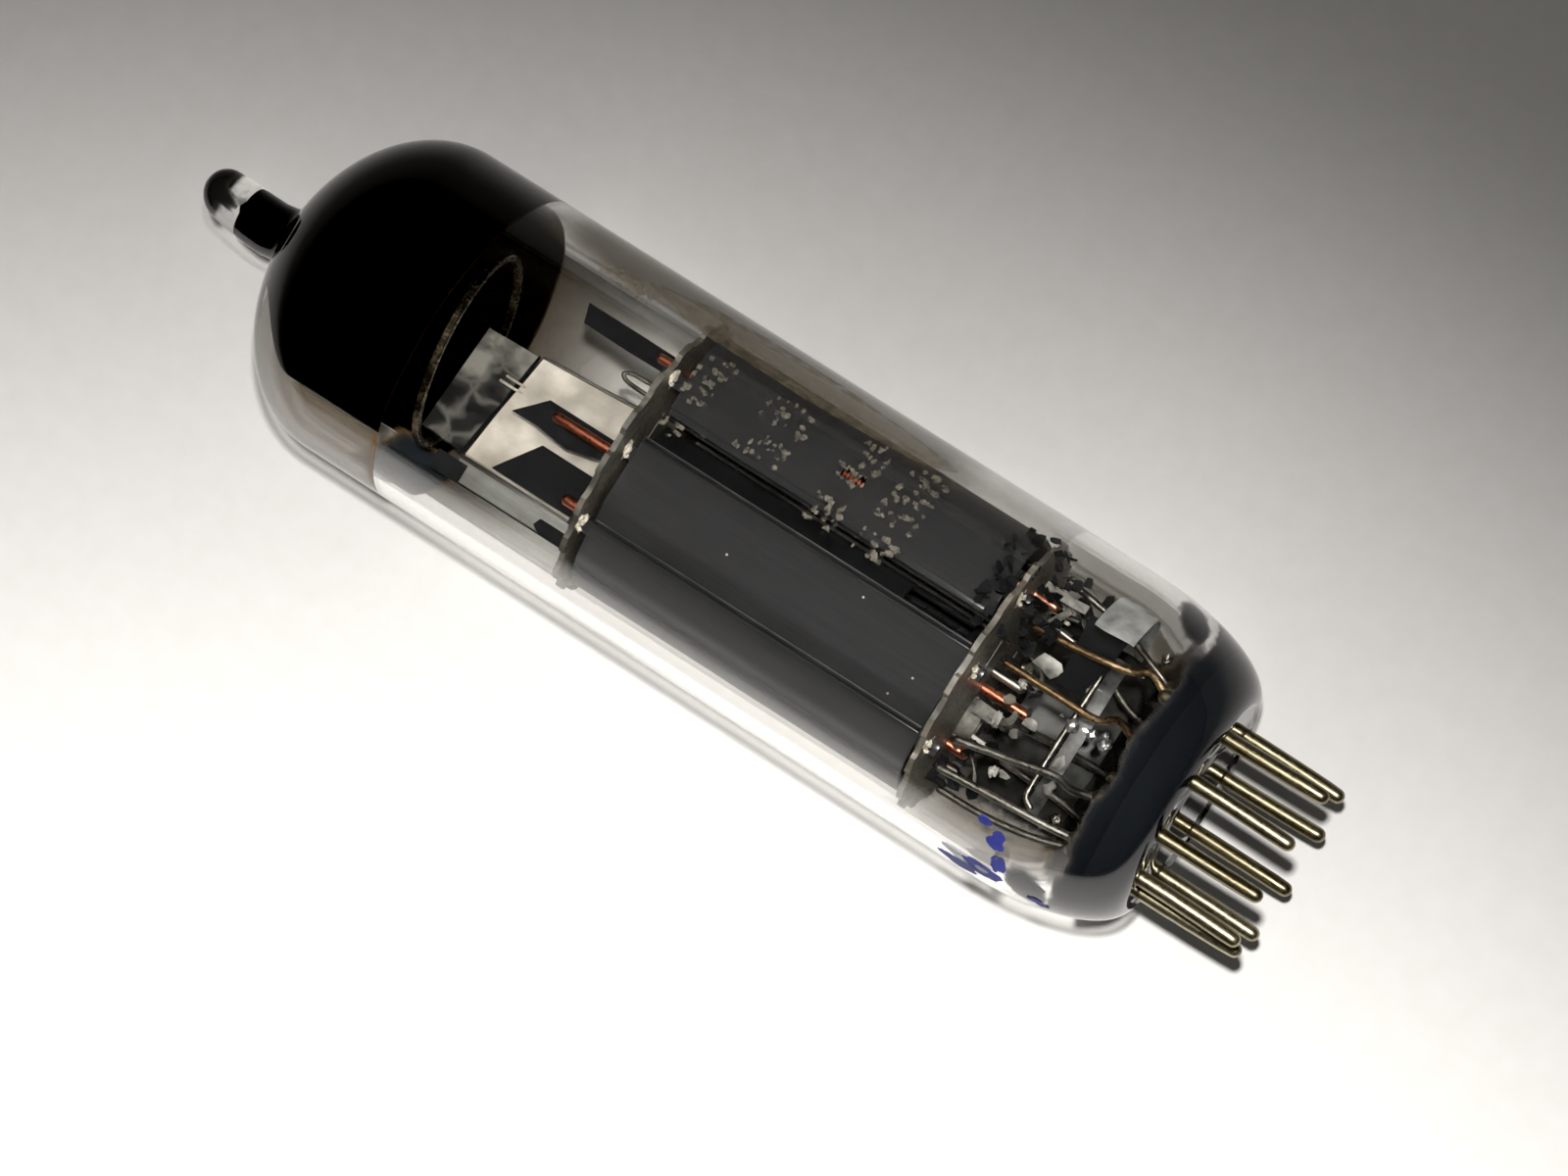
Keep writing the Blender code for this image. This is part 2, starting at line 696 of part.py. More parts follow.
def make_system_shield(cage):
    """An upright plate between the two systems, from front to back."""
    corners = [
        (ANODE_X[0], -2.62, -5.4),
        (ANODE_X[1], -2.62, -5.4),
        (ANODE_X[1], -2.62, 5.4),
        (ANODE_X[0], -2.62, 5.4),
    ]
    flat_plate("system_shield", corners, 0.2, FINISH["black"], cage)


def make_getter(cage):
    """The ring that held the getter metal, and the dark film that it left on the glass."""
    steps = 40
    sides = 8
    rows = []
    for i in range(steps):
        angle = math.tau * i / steps
        row = []
        for j in range(sides):
            turn = math.tau * j / sides
            radius = RING_RADIUS + RING_WIRE * math.cos(turn)
            row.append(
                (RING_WIRE * math.sin(turn), radius * math.cos(angle), radius * math.sin(angle))
            )
        rows.append(row)
    rows.append(rows[0])
    bm = loops_solid(rows, closed_ring=True)
    bmesh.ops.remove_doubles(bm, verts=bm.verts, dist=0.001)
    ring = mesh_object("getter_ring", bm, FINISH["nickel"], cage)
    ring.location = (RING_X * MM, RING_Y * MM, 0.0)
    ring.rotation_euler = (0.0, 0.0, RING_TILT)

    inner_radius = BULB_RADIUS - WALL
    inner_height = DOME_HEIGHT - DOME_THICKNESS
    film = []
    for inset in (0.2, 0.35):
        side = [(MIRROR_START_X, inner_radius - inset)]
        side += arc((DOME_X, 0), (inner_height - inset, inner_radius - inset), 90, 12, 6)
        film.append(side)
    section = film[0] + list(reversed(film[1]))
    sweep = math.tau - 2 * MIRROR_CLEAR_HALF_ANGLE
    count = 28
    loops = []
    for i in range(count + 1):
        angle = MIRROR_CLEAR_HALF_ANGLE + sweep * i / count
        loops.append([(x, r * math.cos(angle), r * math.sin(angle)) for x, r in section])
    mesh_object("getter_mirror", loops_solid(loops), FINISH["mirror"], cage)


def curved_sheet(name, sweep, x_range, finish, cage):
    """A sheet bent round the tube's axis; angles are from the triode side towards the front."""
    start, end = sweep
    count = 10
    walls = []
    for r in (CURVED_SHEET_RADIUS, CURVED_SHEET_RADIUS + THIN_SHEET):
        side = []
        for i in range(count + 1):
            angle = math.radians(start + (end - start) * i / count)
            side.append((-r * math.cos(angle), r * math.sin(angle)))
        walls.append(side)
    prism(name, walls[0] + list(reversed(walls[1])), x_range, finish, cage)


def make_lower_parts(cage):
    """The sheets and straps between the bottom mica and the base."""
    curved_sheet("lower_shield", *SIDE_SHEET, FINISH["bright"], cage)
    curved_sheet("rear_shield", *REAR_SHEET, FINISH["black"], cage)
    corners = [
        front(8.5, 1.9, 0.4),
        front(7.9, 6.3, 2.0),
        front(10.9, 6.3, 2.0),
        front(10.6, 1.9, 0.4),
    ]
    flat_plate("heater_screen", corners, 0.2, FINISH["black"], cage)
    route = [
        front(7.4, -5.0, 3.2),
        front(8.1, -4.6, 3.1),
        front(8.15, -1.0, 3.0),
        front(8.1, 3.3, 2.9),
    ]
    wire("cross_wire", route, 0.22, FINISH["nickel"], cage)
    strap = [
        front(11.9, -2.4, 1.3),
        front(11.9, -1.4, 1.3),
        front(13.9, -1.4, 1.3),
        front(13.9, -2.4, 1.3),
    ]
    flat_plate("cathode_strap", strap, 0.2, FINISH["bright"], cage)
    strap = [
        front(10.9, 5.9, 3.6),
        front(10.9, 6.5, 3.6),
        front(13.8, 6.5, 4.0),
        front(13.8, 5.9, 4.0),
    ]
    flat_plate("anode_strap", strap, 0.2, FINISH["nickel"], cage)


def build():
    cage = bpy.data.objects.new("cage", None)
    bpy.context.collection.objects.link(cage)
    cage.rotation_euler.x = CAGE_TURN
    make_bulb()
    make_stem_button()
    make_pins()
    make_leads()
    make_micas(cage)
    make_mica_rods(cage)
    make_pentode_anode(cage)
    make_triode_anode(cage)
    make_system_shield(cage)
    make_grids(cage)
    make_cathodes(cage)
    make_heaters(cage)
    make_upper_parts(cage)
    make_getter(cage)
    make_lower_parts(cage)


clear_scene()
FINISH = make_materials()
build()
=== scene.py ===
"""The looks of a nine-pin miniature vacuum tube, a triode and a pentode in one glass bulb.

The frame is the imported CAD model: metres, +X from the seating plane to the exhaust tip, +Z up. Shapes
are written here in millimetres and scaled once, in piece(). Parts of the electrode cage are written
in the cage's own frame, which is turned about the tube's axis: front(x, across, depth) names a point
as it is met from the front, with across growing towards the triode.
"""

import random
from math import acos, cos, degrees, exp, hypot, pi, radians, sin, sqrt, tau

import bmesh
import bpy
from mathutils import Matrix, Vector, noise


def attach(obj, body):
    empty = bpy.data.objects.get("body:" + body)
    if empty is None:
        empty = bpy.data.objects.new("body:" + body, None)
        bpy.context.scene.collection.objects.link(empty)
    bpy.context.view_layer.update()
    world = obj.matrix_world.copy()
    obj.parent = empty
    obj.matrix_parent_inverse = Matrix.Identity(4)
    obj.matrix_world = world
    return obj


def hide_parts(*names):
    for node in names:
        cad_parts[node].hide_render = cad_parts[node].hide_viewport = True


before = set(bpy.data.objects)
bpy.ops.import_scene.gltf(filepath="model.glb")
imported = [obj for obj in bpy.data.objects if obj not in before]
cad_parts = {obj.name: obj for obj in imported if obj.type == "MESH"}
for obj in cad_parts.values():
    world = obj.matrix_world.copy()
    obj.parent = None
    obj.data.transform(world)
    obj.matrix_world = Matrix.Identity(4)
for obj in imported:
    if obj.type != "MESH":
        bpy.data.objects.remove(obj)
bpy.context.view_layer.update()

MM = 0.001
CAGE = Matrix.Rotation(radians(6.5), 4, "X")
DICE = random.Random(29)
STRENGTH = "film_strength"

# Glass envelope
OUTER_RADIUS = 10.46
INNER_RADIUS = 9.7
IN_GLASS = (0.14, 0.08)  # a dense film lies just inside the glass, so that it shows through it
IN_BULB = (-0.05, -0.1)  # a faint haze lies just off the wall
FILM_IN_TIP = 0.33  # in the thick tip the film stands further into the glass
DOME_X = 57.2
OUTER_DOME = 7.9
INNER_DOME = 7.0
TIP_END_X = 71.55
GLASS_STEPS = 160
FLOOR_Z = -10.5
FLOOR_SIZE = 1.5  # metres

# Pins
PIN_COUNT = 9
PIN_PITCH = radians(36)
PIN_CIRCLE = 5.95
PIN_RADIUS = 0.5
PIN_END_X = -7.0
PIN_TOP_X = 3.9

# Cage
MICA_X = {"lower": 14.5, "upper": 39.05}
MICA_THICKNESS = 0.35
PENTODE_Y = 2.7
TRIODE_Y = -5.5
SHEET = 0.3
SHEEN_Y = 4.6  # the pentode anode's side is painted greyer from here on: painted sheen for the bright table it reflects edge on
WING_Y = 5.6  # and has its palest painted sheen a little further round


# ---------------------------------------------------------------- materials


class Paint:
    """Short calls for building the nodes of one material. Its coordinates are millimetres."""

    def __init__(self, name):
        self.mat = bpy.data.materials.new(name)
        self.mat.use_nodes = True
        self.tree = self.mat.node_tree
        self.shader = self.tree.nodes["Principled BSDF"]
        coords = self.add("ShaderNodeTexCoord").outputs["Object"]
        self.mm = self.scaled(coords, (1000, 1000, 1000))

    def add(self, kind, inputs=None, **settings):
        node = self.tree.nodes.new(kind)
        for key, value in settings.items():
            setattr(node, key, value)
        for socket, value in (inputs or {}).items():
            self.put(node.inputs[socket], value)
        return node

    def put(self, socket, value):
        if isinstance(value, bpy.types.NodeSocket):
            self.tree.links.new(value, socket)
        elif socket.type == "RGBA" and len(value) == 3:
            socket.default_value = (*value, 1.0)
        else:
            socket.default_value = value

    def set(self, **values):
        for name, value in values.items():
            self.put(self.shader.inputs[name.replace("_", " ")], value)

    def scaled(self, vector, scale):
        return self.add("ShaderNodeMapping", {"Vector": vector, "Scale": scale}).outputs[0]

    def noise(self, scale, detail=3.0, stretch=(1, 1, 1), roughness=0.55):
        where = self.mm if stretch == (1, 1, 1) else self.scaled(self.mm, stretch)
        inputs = {"Vector": where, "Scale": scale, "Detail": detail, "Roughness": roughness}
        return self.add("ShaderNodeTexNoise", inputs).outputs["Fac"]

    def ramp(self, fac, *stops):
        node = self.add("ShaderNodeValToRGB", {"Fac": fac})
        elements = node.color_ramp.elements
        while len(elements) < len(stops):
            elements.new(0.5)
        for element, (position, colour) in zip(elements, stops):
            element.position = position
            colour = colour if isinstance(colour, tuple) else (colour,) * 3
            element.color = (*colour, 1.0)
        return node.outputs["Color"]

    def mix(self, fac, a, b):
        node = self.add("ShaderNodeMix", data_type="RGBA")
        self.put(node.inputs["Factor"], fac)
        self.put(node.inputs[6], a)
        self.put(node.inputs[7], b)
        return node.outputs[2]

    def math(self, operation, a, b=0.0, clamp=False):
        node = self.add("ShaderNodeMath", operation=operation, use_clamp=clamp)
        self.put(node.inputs[0], a)
        self.put(node.inputs[1], b)
        return node.outputs[0]

    def bump(self, height, strength, distance=0.00005):
        inputs = {"Height": height, "Strength": strength, "Distance": distance}
        self.set(Normal=self.add("ShaderNodeBump", inputs).outputs[0])


def metal(name, dark, mid, light, rough=(0.25, 0.5), streak=(0.12, 1, 1), scale=2.2, metallic=1.0):
    """Worn metal: patches of tarnish, fine streaks along the part and an uneven gloss."""
    paint = Paint(name)
    patches = paint.noise(scale * 0.45, 4.0, streak)
    fine = paint.noise(scale * 5, 2.0, (0.1, 1, 1))
    spread = paint.math("ADD", paint.math("MULTIPLY", patches, 0.72), paint.math("MULTIPLY", fine, 0.28))
    colour = paint.ramp(spread, (0.36, dark), (0.5, mid), (0.66, light))
    gloss = paint.ramp(paint.noise(scale * 1.7), (0.3, rough[0]), (0.7, rough[1]))
    paint.set(Base_Color=colour, Metallic=metallic, Roughness=gloss)
    paint.bump(fine, 0.25, 0.00003)
    return paint.mat


def glass_finish():
    """Clear soda glass. Lamps shine through it, dimmed where they graze it as at a real rim."""
    paint = Paint("clear_envelope_glass")
    smoke = paint.noise(0.12, 2.0, (0.35, 1, 1))
    tint = paint.ramp(smoke, (0.3, (0.955, 0.95, 0.935)), (0.75, (0.985, 0.985, 0.975)))
    paint.set(Base_Color=tint, Roughness=0.0, IOR=1.5, Transmission_Weight=1.0)
    paint.bump(paint.noise(0.35, 2.0, (0.2, 1, 1)), 0.06, 0.0001)
    facing = paint.add("ShaderNodeLayerWeight", {"Blend": 0.35}).outputs["Facing"]
    passed = paint.ramp(facing, (0.45, (0.97, 0.97, 0.965)), (0.97, (0.22, 0.22, 0.215)))
    clear = paint.add("ShaderNodeBsdfTransparent", {"Color": passed}).outputs[0]
    lamp = paint.add("ShaderNodeLightPath").outputs["Is Shadow Ray"]
    both = paint.add("ShaderNodeMixShader", {0: lamp, 1: paint.shader.outputs[0], 2: clear})
    paint.put(paint.tree.nodes["Material Output"].inputs["Surface"], both.outputs[0])
    return paint.mat


def film_finish(name, colours, alphas, cloud=0.35):
    """A film on the glass. Its density is stored on the mesh: 0 at its edge and 1 well inside.

    cloud is how much the density varies from place to place.
    """
    paint = Paint(name)
    density = paint.add("ShaderNodeAttribute", attribute_name=STRENGTH).outputs["Fac"]
    grain = paint.noise(1.3, 3.0)
    uneven = paint.math("MULTIPLY", paint.math("SUBTRACT", grain, 0.5), cloud)
    level = paint.math("ADD", density, uneven, clamp=True)
    colour = paint.ramp(level, *colours)
    alpha = paint.ramp(level, *alphas)
    paint.set(Base_Color=colour, Roughness=0.6, Alpha=alpha, Specular_IOR_Level=0.0)
    return paint.mat


def sheet_finish(name, dark, light, rough, metallic=0.0, stretch=(0.08, 1, 1), scale=3.0, specular=0.5):
    """Rolled sheet: long soft streaks, mottling and a fine grain."""
    paint = Paint(name)
    streaks = paint.noise(scale, 4.0, stretch)
    mottle = paint.noise(scale * 0.25, 3.0)
    level = paint.math("ADD", paint.math("MULTIPLY", streaks, 0.5), paint.math("MULTIPLY", mottle, 0.5))
    paint.set(Base_Color=paint.ramp(level, (0.35, dark), (0.65, light)), Metallic=metallic)
    paint.set(Roughness=paint.ramp(mottle, (0.3, rough[0]), (0.7, rough[1])))
    paint.set(Specular_IOR_Level=specular)
    paint.bump(paint.noise(scale * 6, 2.0, stretch), 0.2, 0.00002)
    return paint.mat


def anode_finish():
    """Matt carbonised sheet with fine lines along it, which shines only where it is met edge on. Its rounded
    side is painted greyer, palest in a band: painted sheen for the bright table it reflects there.
    """
    paint = Paint("carbonised_anode_sheet")
    lines = paint.noise(4.0, 3.0, (0.03, 1, 1))
    mottle = paint.noise(0.5, 4.0)
    level = paint.math("ADD", paint.math("MULTIPLY", lines, 0.6), paint.math("MULTIPLY", mottle, 0.4))
    colour = paint.ramp(level, (0.35, (0.006, 0.006, 0.0064)), (0.65, (0.0115, 0.0115, 0.012)))
    split = paint.add("ShaderNodeSeparateXYZ", {"Vector": paint.mm})
    # painted sheen: the rounded side turns to lighter shades by its place, for the bright table it reflects
    painted_sheen = paint.math("MULTIPLY", paint.math("SUBTRACT", split.outputs["Y"], SHEEN_Y), 0.55, clamp=True)
    wing = paint.ramp(
        paint.math("MULTIPLY", paint.math("SUBTRACT", split.outputs["Y"], WING_Y), 0.5, clamp=True),
        (0.2, (0.03, 0.03, 0.031)),
        (0.42, (0.064, 0.064, 0.065)),
        (0.62, (0.055, 0.055, 0.056)),
        (0.8, (0.03, 0.03, 0.031)),
    )
    paint.set(Base_Color=paint.mix(painted_sheen, colour, wing))
    paint.set(Roughness=paint.ramp(mottle, (0.3, 0.8), (0.7, 0.92)), Specular_IOR_Level=0.18)
    paint.set(Coat_Weight=0.2, Coat_Roughness=0.12)
    paint.bump(lines, 0.2, 0.00002)
    return paint.mat


def mica_finish():
    """Translucent brown-grey mica with darker cloudy stains and flaky layers."""
    paint = Paint("cloudy_mica")
    stains = paint.noise(0.55, 5.0, (0.3, 1, 1), 0.65)
    flakes = paint.noise(3.5, 2.0, (0.3, 1, 1))
    colour = paint.ramp(
        stains, (0.38, (0.025, 0.023, 0.018)), (0.56, (0.075, 0.067, 0.053)), (0.78, (0.19, 0.167, 0.13))
    )
    paint.set(Base_Color=colour, Roughness=paint.ramp(flakes, (0.3, 0.3), (0.7, 0.55)))
    paint.bump(flakes, 0.4, 0.00004)
    return paint.mat


def graded_finish(name, slope, middle, stops, rough, metallic, crackle=0.0):
    """Nickel sheet with soft burnt blotches, darker towards the pentode's side, and pale cracks."""
    paint = Paint(name)
    split = paint.add("ShaderNodeSeparateXYZ", {"Vector": paint.mm})
    lighter = paint.math("MULTIPLY", paint.math("SUBTRACT", middle, split.outputs["Y"]), slope)
    blotch = paint.math("ADD", paint.noise(0.42, 3.0, (1, 1, 1), 0.45), lighter)
    gloss = paint.ramp(paint.noise(2.5), (0.3, rough[0]), (0.7, rough[1]))
    colour = paint.ramp(blotch, *stops)
    if crackle:
        waves = paint.add("ShaderNodeTexNoise", {"Vector": paint.mm, "Scale": 0.5, "Detail": 1.0})
        push = {0: waves.outputs["Color"], 1: (2.0, 2.0, 2.0), 2: paint.mm}
        bent = paint.add("ShaderNodeVectorMath", push, operation="MULTIPLY_ADD").outputs[0]
        edges = paint.add("ShaderNodeTexVoronoi", {"Vector": bent, "Scale": 0.36}, feature="DISTANCE_TO_EDGE")
        cracks = paint.ramp(edges.outputs["Distance"], (0.0, crackle), (0.09, 0.0))
        colour = paint.mix(cracks, colour, (0.12, 0.115, 0.10))
    paint.set(Base_Color=colour, Metallic=metallic, Roughness=gloss)
    paint.bump(paint.noise(1.5), 0.5, 0.0001)
    return paint.mat


def coating_finish(name, dark, light):
    """A chalky sprayed coating."""
    paint = Paint(name)
    grain = paint.noise(7.0, 3.0)
    paint.set(Base_Color=paint.ramp(grain, (0.3, dark), (0.7, light)), Roughness=0.85)
    paint.bump(grain, 0.5, 0.00004)
    return paint.mat


def worn_ink_finish(name, colour, cover, scale, worn=(0.42, 0.6)):
    """Print or ink that has partly rubbed off the glass."""
    paint = Paint(name)
    wear = paint.noise(scale, 5.0, (1, 1, 1), 0.7)
    shade = paint.noise(scale * 2, 2.0)
    dull = tuple(part * 0.6 for part in colour)
    paint.set(Base_Color=paint.ramp(shade, (0.3, dull), (0.7, colour)), Roughness=0.7)
    paint.set(Alpha=paint.ramp(wear, (worn[0], 0.0), (worn[1], cover)))
    return paint.mat


def floor_finish():
    """A pale matt table top with a barely visible paper grain."""
    paint = Paint("pale_table_top")
    grain = paint.noise(0.6, 4.0)
    paint.set(Base_Color=paint.ramp(grain, (0.3, (0.80, 0.785, 0.765)), (0.7, (0.83, 0.815, 0.80))))
    paint.set(Roughness=0.8, Specular_IOR_Level=0.2)
    paint.bump(paint.noise(2.5, 3.0), 0.08, 0.0001)
    return paint.mat


FINISH = {
    "glass": glass_finish(),
    "film": film_finish(
        "black_mirror_film",
        ((0.06, (0.03, 0.017, 0.008)), (0.16, (0.006, 0.004, 0.003)), (0.28, (0.0004, 0.0004, 0.0004))),
        ((0.0, 0.05), (0.14, 0.8), (0.26, 1.0)),
        0.2,
    ),
    "tint": film_finish(
        "thin_brown_film",
        ((0.1, (0.22, 0.12, 0.05)), (0.5, (0.2, 0.145, 0.085)), (0.9, (0.2, 0.145, 0.085))),
        ((0.0, 0.78), (0.3, 0.5), (0.6, 0.31), (0.8, 0.29)),
        0.06,
    ),
    "bluish": film_finish(
        "bluish_film_patch",
        ((0.1, (0.13, 0.08, 0.035)), (0.3, (0.04, 0.036, 0.032)), (0.6, (0.015, 0.018, 0.021))),
        ((0.0, 0.0), (0.2, 0.8), (0.45, 1.0)),
        0.2,
    ),
    # a faint film that is partly painted shadow of the tube on the table behind the wall
    "haze_and_shadow": film_finish(
        "wall_haze_and_painted_shadow",
        ((0.1, (0.12, 0.10, 0.075)), (0.6, (0.085, 0.065, 0.043)), (0.95, (0.05, 0.034, 0.018))),
        ((0.0, 0.12), (0.4, 0.34), (1.0, 0.62)),
        0.12,
    ),
    "brownish_film": film_finish(
        "brown_side_haze",
        ((0.1, (0.17, 0.135, 0.092)), (0.6, (0.14, 0.108, 0.068)), (1.0, (0.12, 0.09, 0.055))),
        ((0.0, 0.0), (0.4, 0.18), (1.0, 0.42)),
        0.2,
    ),
    "dark_film": film_finish(
        "sooty_tip_and_dark_wall_film",
        ((0.1, (0.06, 0.058, 0.05)), (0.5, (0.02, 0.02, 0.018)), (0.9, (0.012, 0.012, 0.011))),
        ((0.0, 0.0), (0.3, 0.6), (0.7, 0.95)),
        0.5,
    ),
    # a dark film inside the base, and painted shade in the base glass round it
    "dark_base_film": film_finish(
        "dark_stem_film_and_shade",
        ((0.1, (0.07, 0.065, 0.06)), (0.4, (0.018, 0.019, 0.022)), (0.8, (0.0095, 0.011, 0.0135))),
        ((0.05, 0.0), (0.3, 0.75), (0.6, 0.97)),
    ),
    "pin": metal(
        "tarnished_pin_metal", (0.09, 0.072, 0.042), (0.235, 0.205, 0.13), (0.42, 0.38, 0.265),
        (0.26, 0.42), (0.03, 1, 1),
    ),
    "nickel": metal("dull_nickel_wire", (0.045, 0.042, 0.036), (0.15, 0.142, 0.122), (0.36, 0.34, 0.30)),
    "gold": metal("heat_tinted_wire", (0.05, 0.034, 0.02), (0.18, 0.115, 0.06), (0.60, 0.42, 0.24)),
    "copper": metal(
        "copper_plated_rod", (0.22, 0.06, 0.035), (0.52, 0.17, 0.10), (0.78, 0.36, 0.24), (0.25, 0.4),
    ),
    "ring": metal(
        "dark_getter_channel", (0.012, 0.01, 0.006), (0.05, 0.04, 0.025), (0.26, 0.205, 0.13), (0.2, 0.35),
    ),
    "blotched": graded_finish(
        "burnt_nickel_sheet", 0.06, 1.2,
        ((0.36, (0.005, 0.005, 0.005)), (0.47, (0.03, 0.03, 0.027)), (0.64, (0.24, 0.225, 0.20))),
        (0.3, 0.5), 0.35, 0.75,
    ),
    "graded": graded_finish(
        "bright_nickel_sheet_graded", 0.03, 2.0,
        ((0.2, (0.28, 0.25, 0.20)), (0.5, (0.56, 0.51, 0.44)), (0.74, (0.86, 0.80, 0.70))), (0.38, 0.52), 0.3,
    ),
    "side": sheet_finish(
        "silvery_side_sheet", (0.17, 0.175, 0.173), (0.84, 0.85, 0.83), (0.22, 0.4), 0.7, (1, 1, 0.5), 0.9,
    ),
    "band": sheet_finish(
        "grey_shield_band", (0.012, 0.012, 0.0115), (0.085, 0.084, 0.08), (0.35, 0.5), 0.3, (1, 1, 1), 1.6,
    ),
    "dull": sheet_finish(
        "dull_nickel_tab", (0.014, 0.013, 0.011), (0.11, 0.102, 0.084), (0.5, 0.65), 0.3, (1, 1, 1),
    ),
    "grey": sheet_finish(
        "grey_torn_sheet", (0.04, 0.038, 0.035), (0.26, 0.25, 0.225), (0.3, 0.5), 0.4, (1, 1, 1), 1.5,
    ),
    # weld beads whose bright polish gives painted glints, for the flash reflected on the glass shoulder
    "glint_metal": metal(
        "weld_metal_painted_glint", (0.5, 0.49, 0.48), (0.8, 0.79, 0.78), (0.95, 0.93, 0.94), (0.32, 0.42),
    ),
    "strap": sheet_finish("grey_nickel_strap", (0.055, 0.055, 0.05), (0.12, 0.12, 0.108), (0.5, 0.65), 0.3),
    "satin": sheet_finish(
        "dark_satin_sheet", (0.006, 0.0062, 0.006), (0.036, 0.036, 0.033), (0.3, 0.45), 0.6, (1, 1, 1), 1.2,
    ),
    # painted highlight: the light rods along the anode's folds
    "edge": sheet_finish("painted_edge_highlight", (0.022, 0.022, 0.023), (0.075, 0.075, 0.075), (0.4, 0.55), 0.5),
    "tab": sheet_finish(
        "cream_nickel_tab", (0.20, 0.18, 0.14), (0.52, 0.475, 0.40), (0.5, 0.65), 0.3, (1, 1, 1),
    ),
    # also painted shade: the dark rods in the anode's folds and the faces of its recess
    "black": sheet_finish(
        "blackened_sheet", (0.0023, 0.0025, 0.0027), (0.0057, 0.006, 0.0067), (0.7, 0.8), specular=0.08,
    ),
    "anode": anode_finish(),
    "mica": mica_finish(),
    "cathode": coating_finish("oxide_coating", (0.50, 0.48, 0.44), (0.68, 0.66, 0.62)),
    "heater": coating_finish("white_heater_coating", (0.30, 0.285, 0.255), (0.46, 0.44, 0.40)),
    "pale": coating_finish("pale_ceramic_bead", (0.17, 0.165, 0.15), (0.36, 0.345, 0.31)),
    "print": worn_ink_finish("worn_cream_print", (0.33, 0.30, 0.23), 0.66, 1.1),
    "faded": worn_ink_finish("faded_print_patch", (0.30, 0.245, 0.165), 0.55, 1.0, (0.36, 0.66)),
    "ink": worn_ink_finish("blue_marker_ink", (0.03, 0.04, 0.33), 0.95, 0.7, (0.3, 0.42)),
    "floor": floor_finish(),
}


# ---------------------------------------------------------------- shapes


def front(x, across, depth):
    return Vector((x, -across, depth))


def fronts(*points):
    return [front(*point) for point in points]


def polar(x, r, angle):
    return Vector((x, r * cos(angle), r * sin(angle)))


def mesh_of(make, *calls):
    """A new mesh with one shape in it for each tuple of arguments."""
    bm = bmesh.new()
    for args in calls:
        make(bm, *args)
    return bm


def piece(name, bm, finish, nodes=(), caged=True, bevel=0.0, smooth=38, second=None):
    """Close off one part: turn it into the row frame, scale it to metres and tie it to the CAD.

    second is (finish, test): another finish for the faces whose centre passes the test.
    """
    bmesh.ops.remove_doubles(bm, verts=bm.verts, dist=0.0005)
    bmesh.ops.recalc_face_normals(bm, faces=bm.faces)
    if bevel:
        sharp = [e for e in bm.edges if e.is_manifold and e.calc_face_angle() > radians(30)]
        how = {"segments": 2, "profile": 0.6, "affect": "EDGES", "clamp_overlap": True}
        bmesh.ops.bevel(bm, geom=sharp, offset=bevel, **how)
    if second:
        for face in bm.faces:
            face.material_index = int(second[1](face.calc_center_median()))
    if caged:
        bm.transform(CAGE)
    bm.transform(Matrix.Scale(MM, 4))
    mesh = bpy.data.meshes.new(name)
    bm.to_mesh(mesh)
    bm.free()
    mesh.materials.append(FINISH[finish])
    if second:
        mesh.materials.append(FINISH[second[0]])
    mesh.shade_smooth()
    mesh.set_sharp_from_angle(angle=radians(smooth))
    made = bpy.data.objects.new(name, mesh)
    bpy.context.scene.collection.objects.link(made)
    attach(made, "root")
    if nodes:
        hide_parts(*nodes)
    return made


def skin(bm, loops, round_loop=True, round_rows=False, caps=True):
    """Faces over rows of points. Loops may close on themselves, and so may the row of loops."""
    rows = [[bm.verts.new(point) for point in loop] for loop in loops]
    pairs = list(zip(rows, rows[1:])) + ([(rows[-1], rows[0])] if round_rows else [])
    count = len(rows[0])
    for low, high in pairs:
        for i in range(count if round_loop else count - 1):
            j = (i + 1) % count
            bm.faces.new((low[i], low[j], high[j], high[i]))
    if caps and round_loop and not round_rows:
        bm.faces.new(rows[0])
        bm.faces.new(rows[-1])
    return rows


def lathe(bm, profile, steps, shape):
    """Turn a profile of (x, r) points about the X axis. shape(point) pushes the points about."""
    angles = [tau * i / steps for i in range(steps)]
    skin(bm, [[shape(polar(x, r, angle)) for angle in angles] for x, r in profile], caps=False)


def arc(centre, radii, start, end, count):
    """Points (x, r) of an ellipse arc, angles from +X towards +r."""
    angles = [radians(start + (end - start) * i / count) for i in range(count + 1)]
    return [(centre[0] + radii[0] * cos(t), centre[1] + radii[1] * sin(t)) for t in angles]


def curve_through(points, steps):
    """A Catmull-Rom curve through points, so that a wire bends without corners."""
    path = [Vector(point) for point in points]
    path = [path[0] * 2 - path[1]] + path + [path[-1] * 2 - path[-2]]
    made = []
    for a, b, c, d in zip(path, path[1:], path[2:], path[3:]):
        square, cube = 2 * a - 5 * b + 4 * c - d, 3 * b - a - 3 * c + d
        for step in range(steps):
            t = step / steps
            made.append(0.5 * (2 * b + (c - a) * t + square * t**2 + cube * t**3))
    return made + [path[-2]]


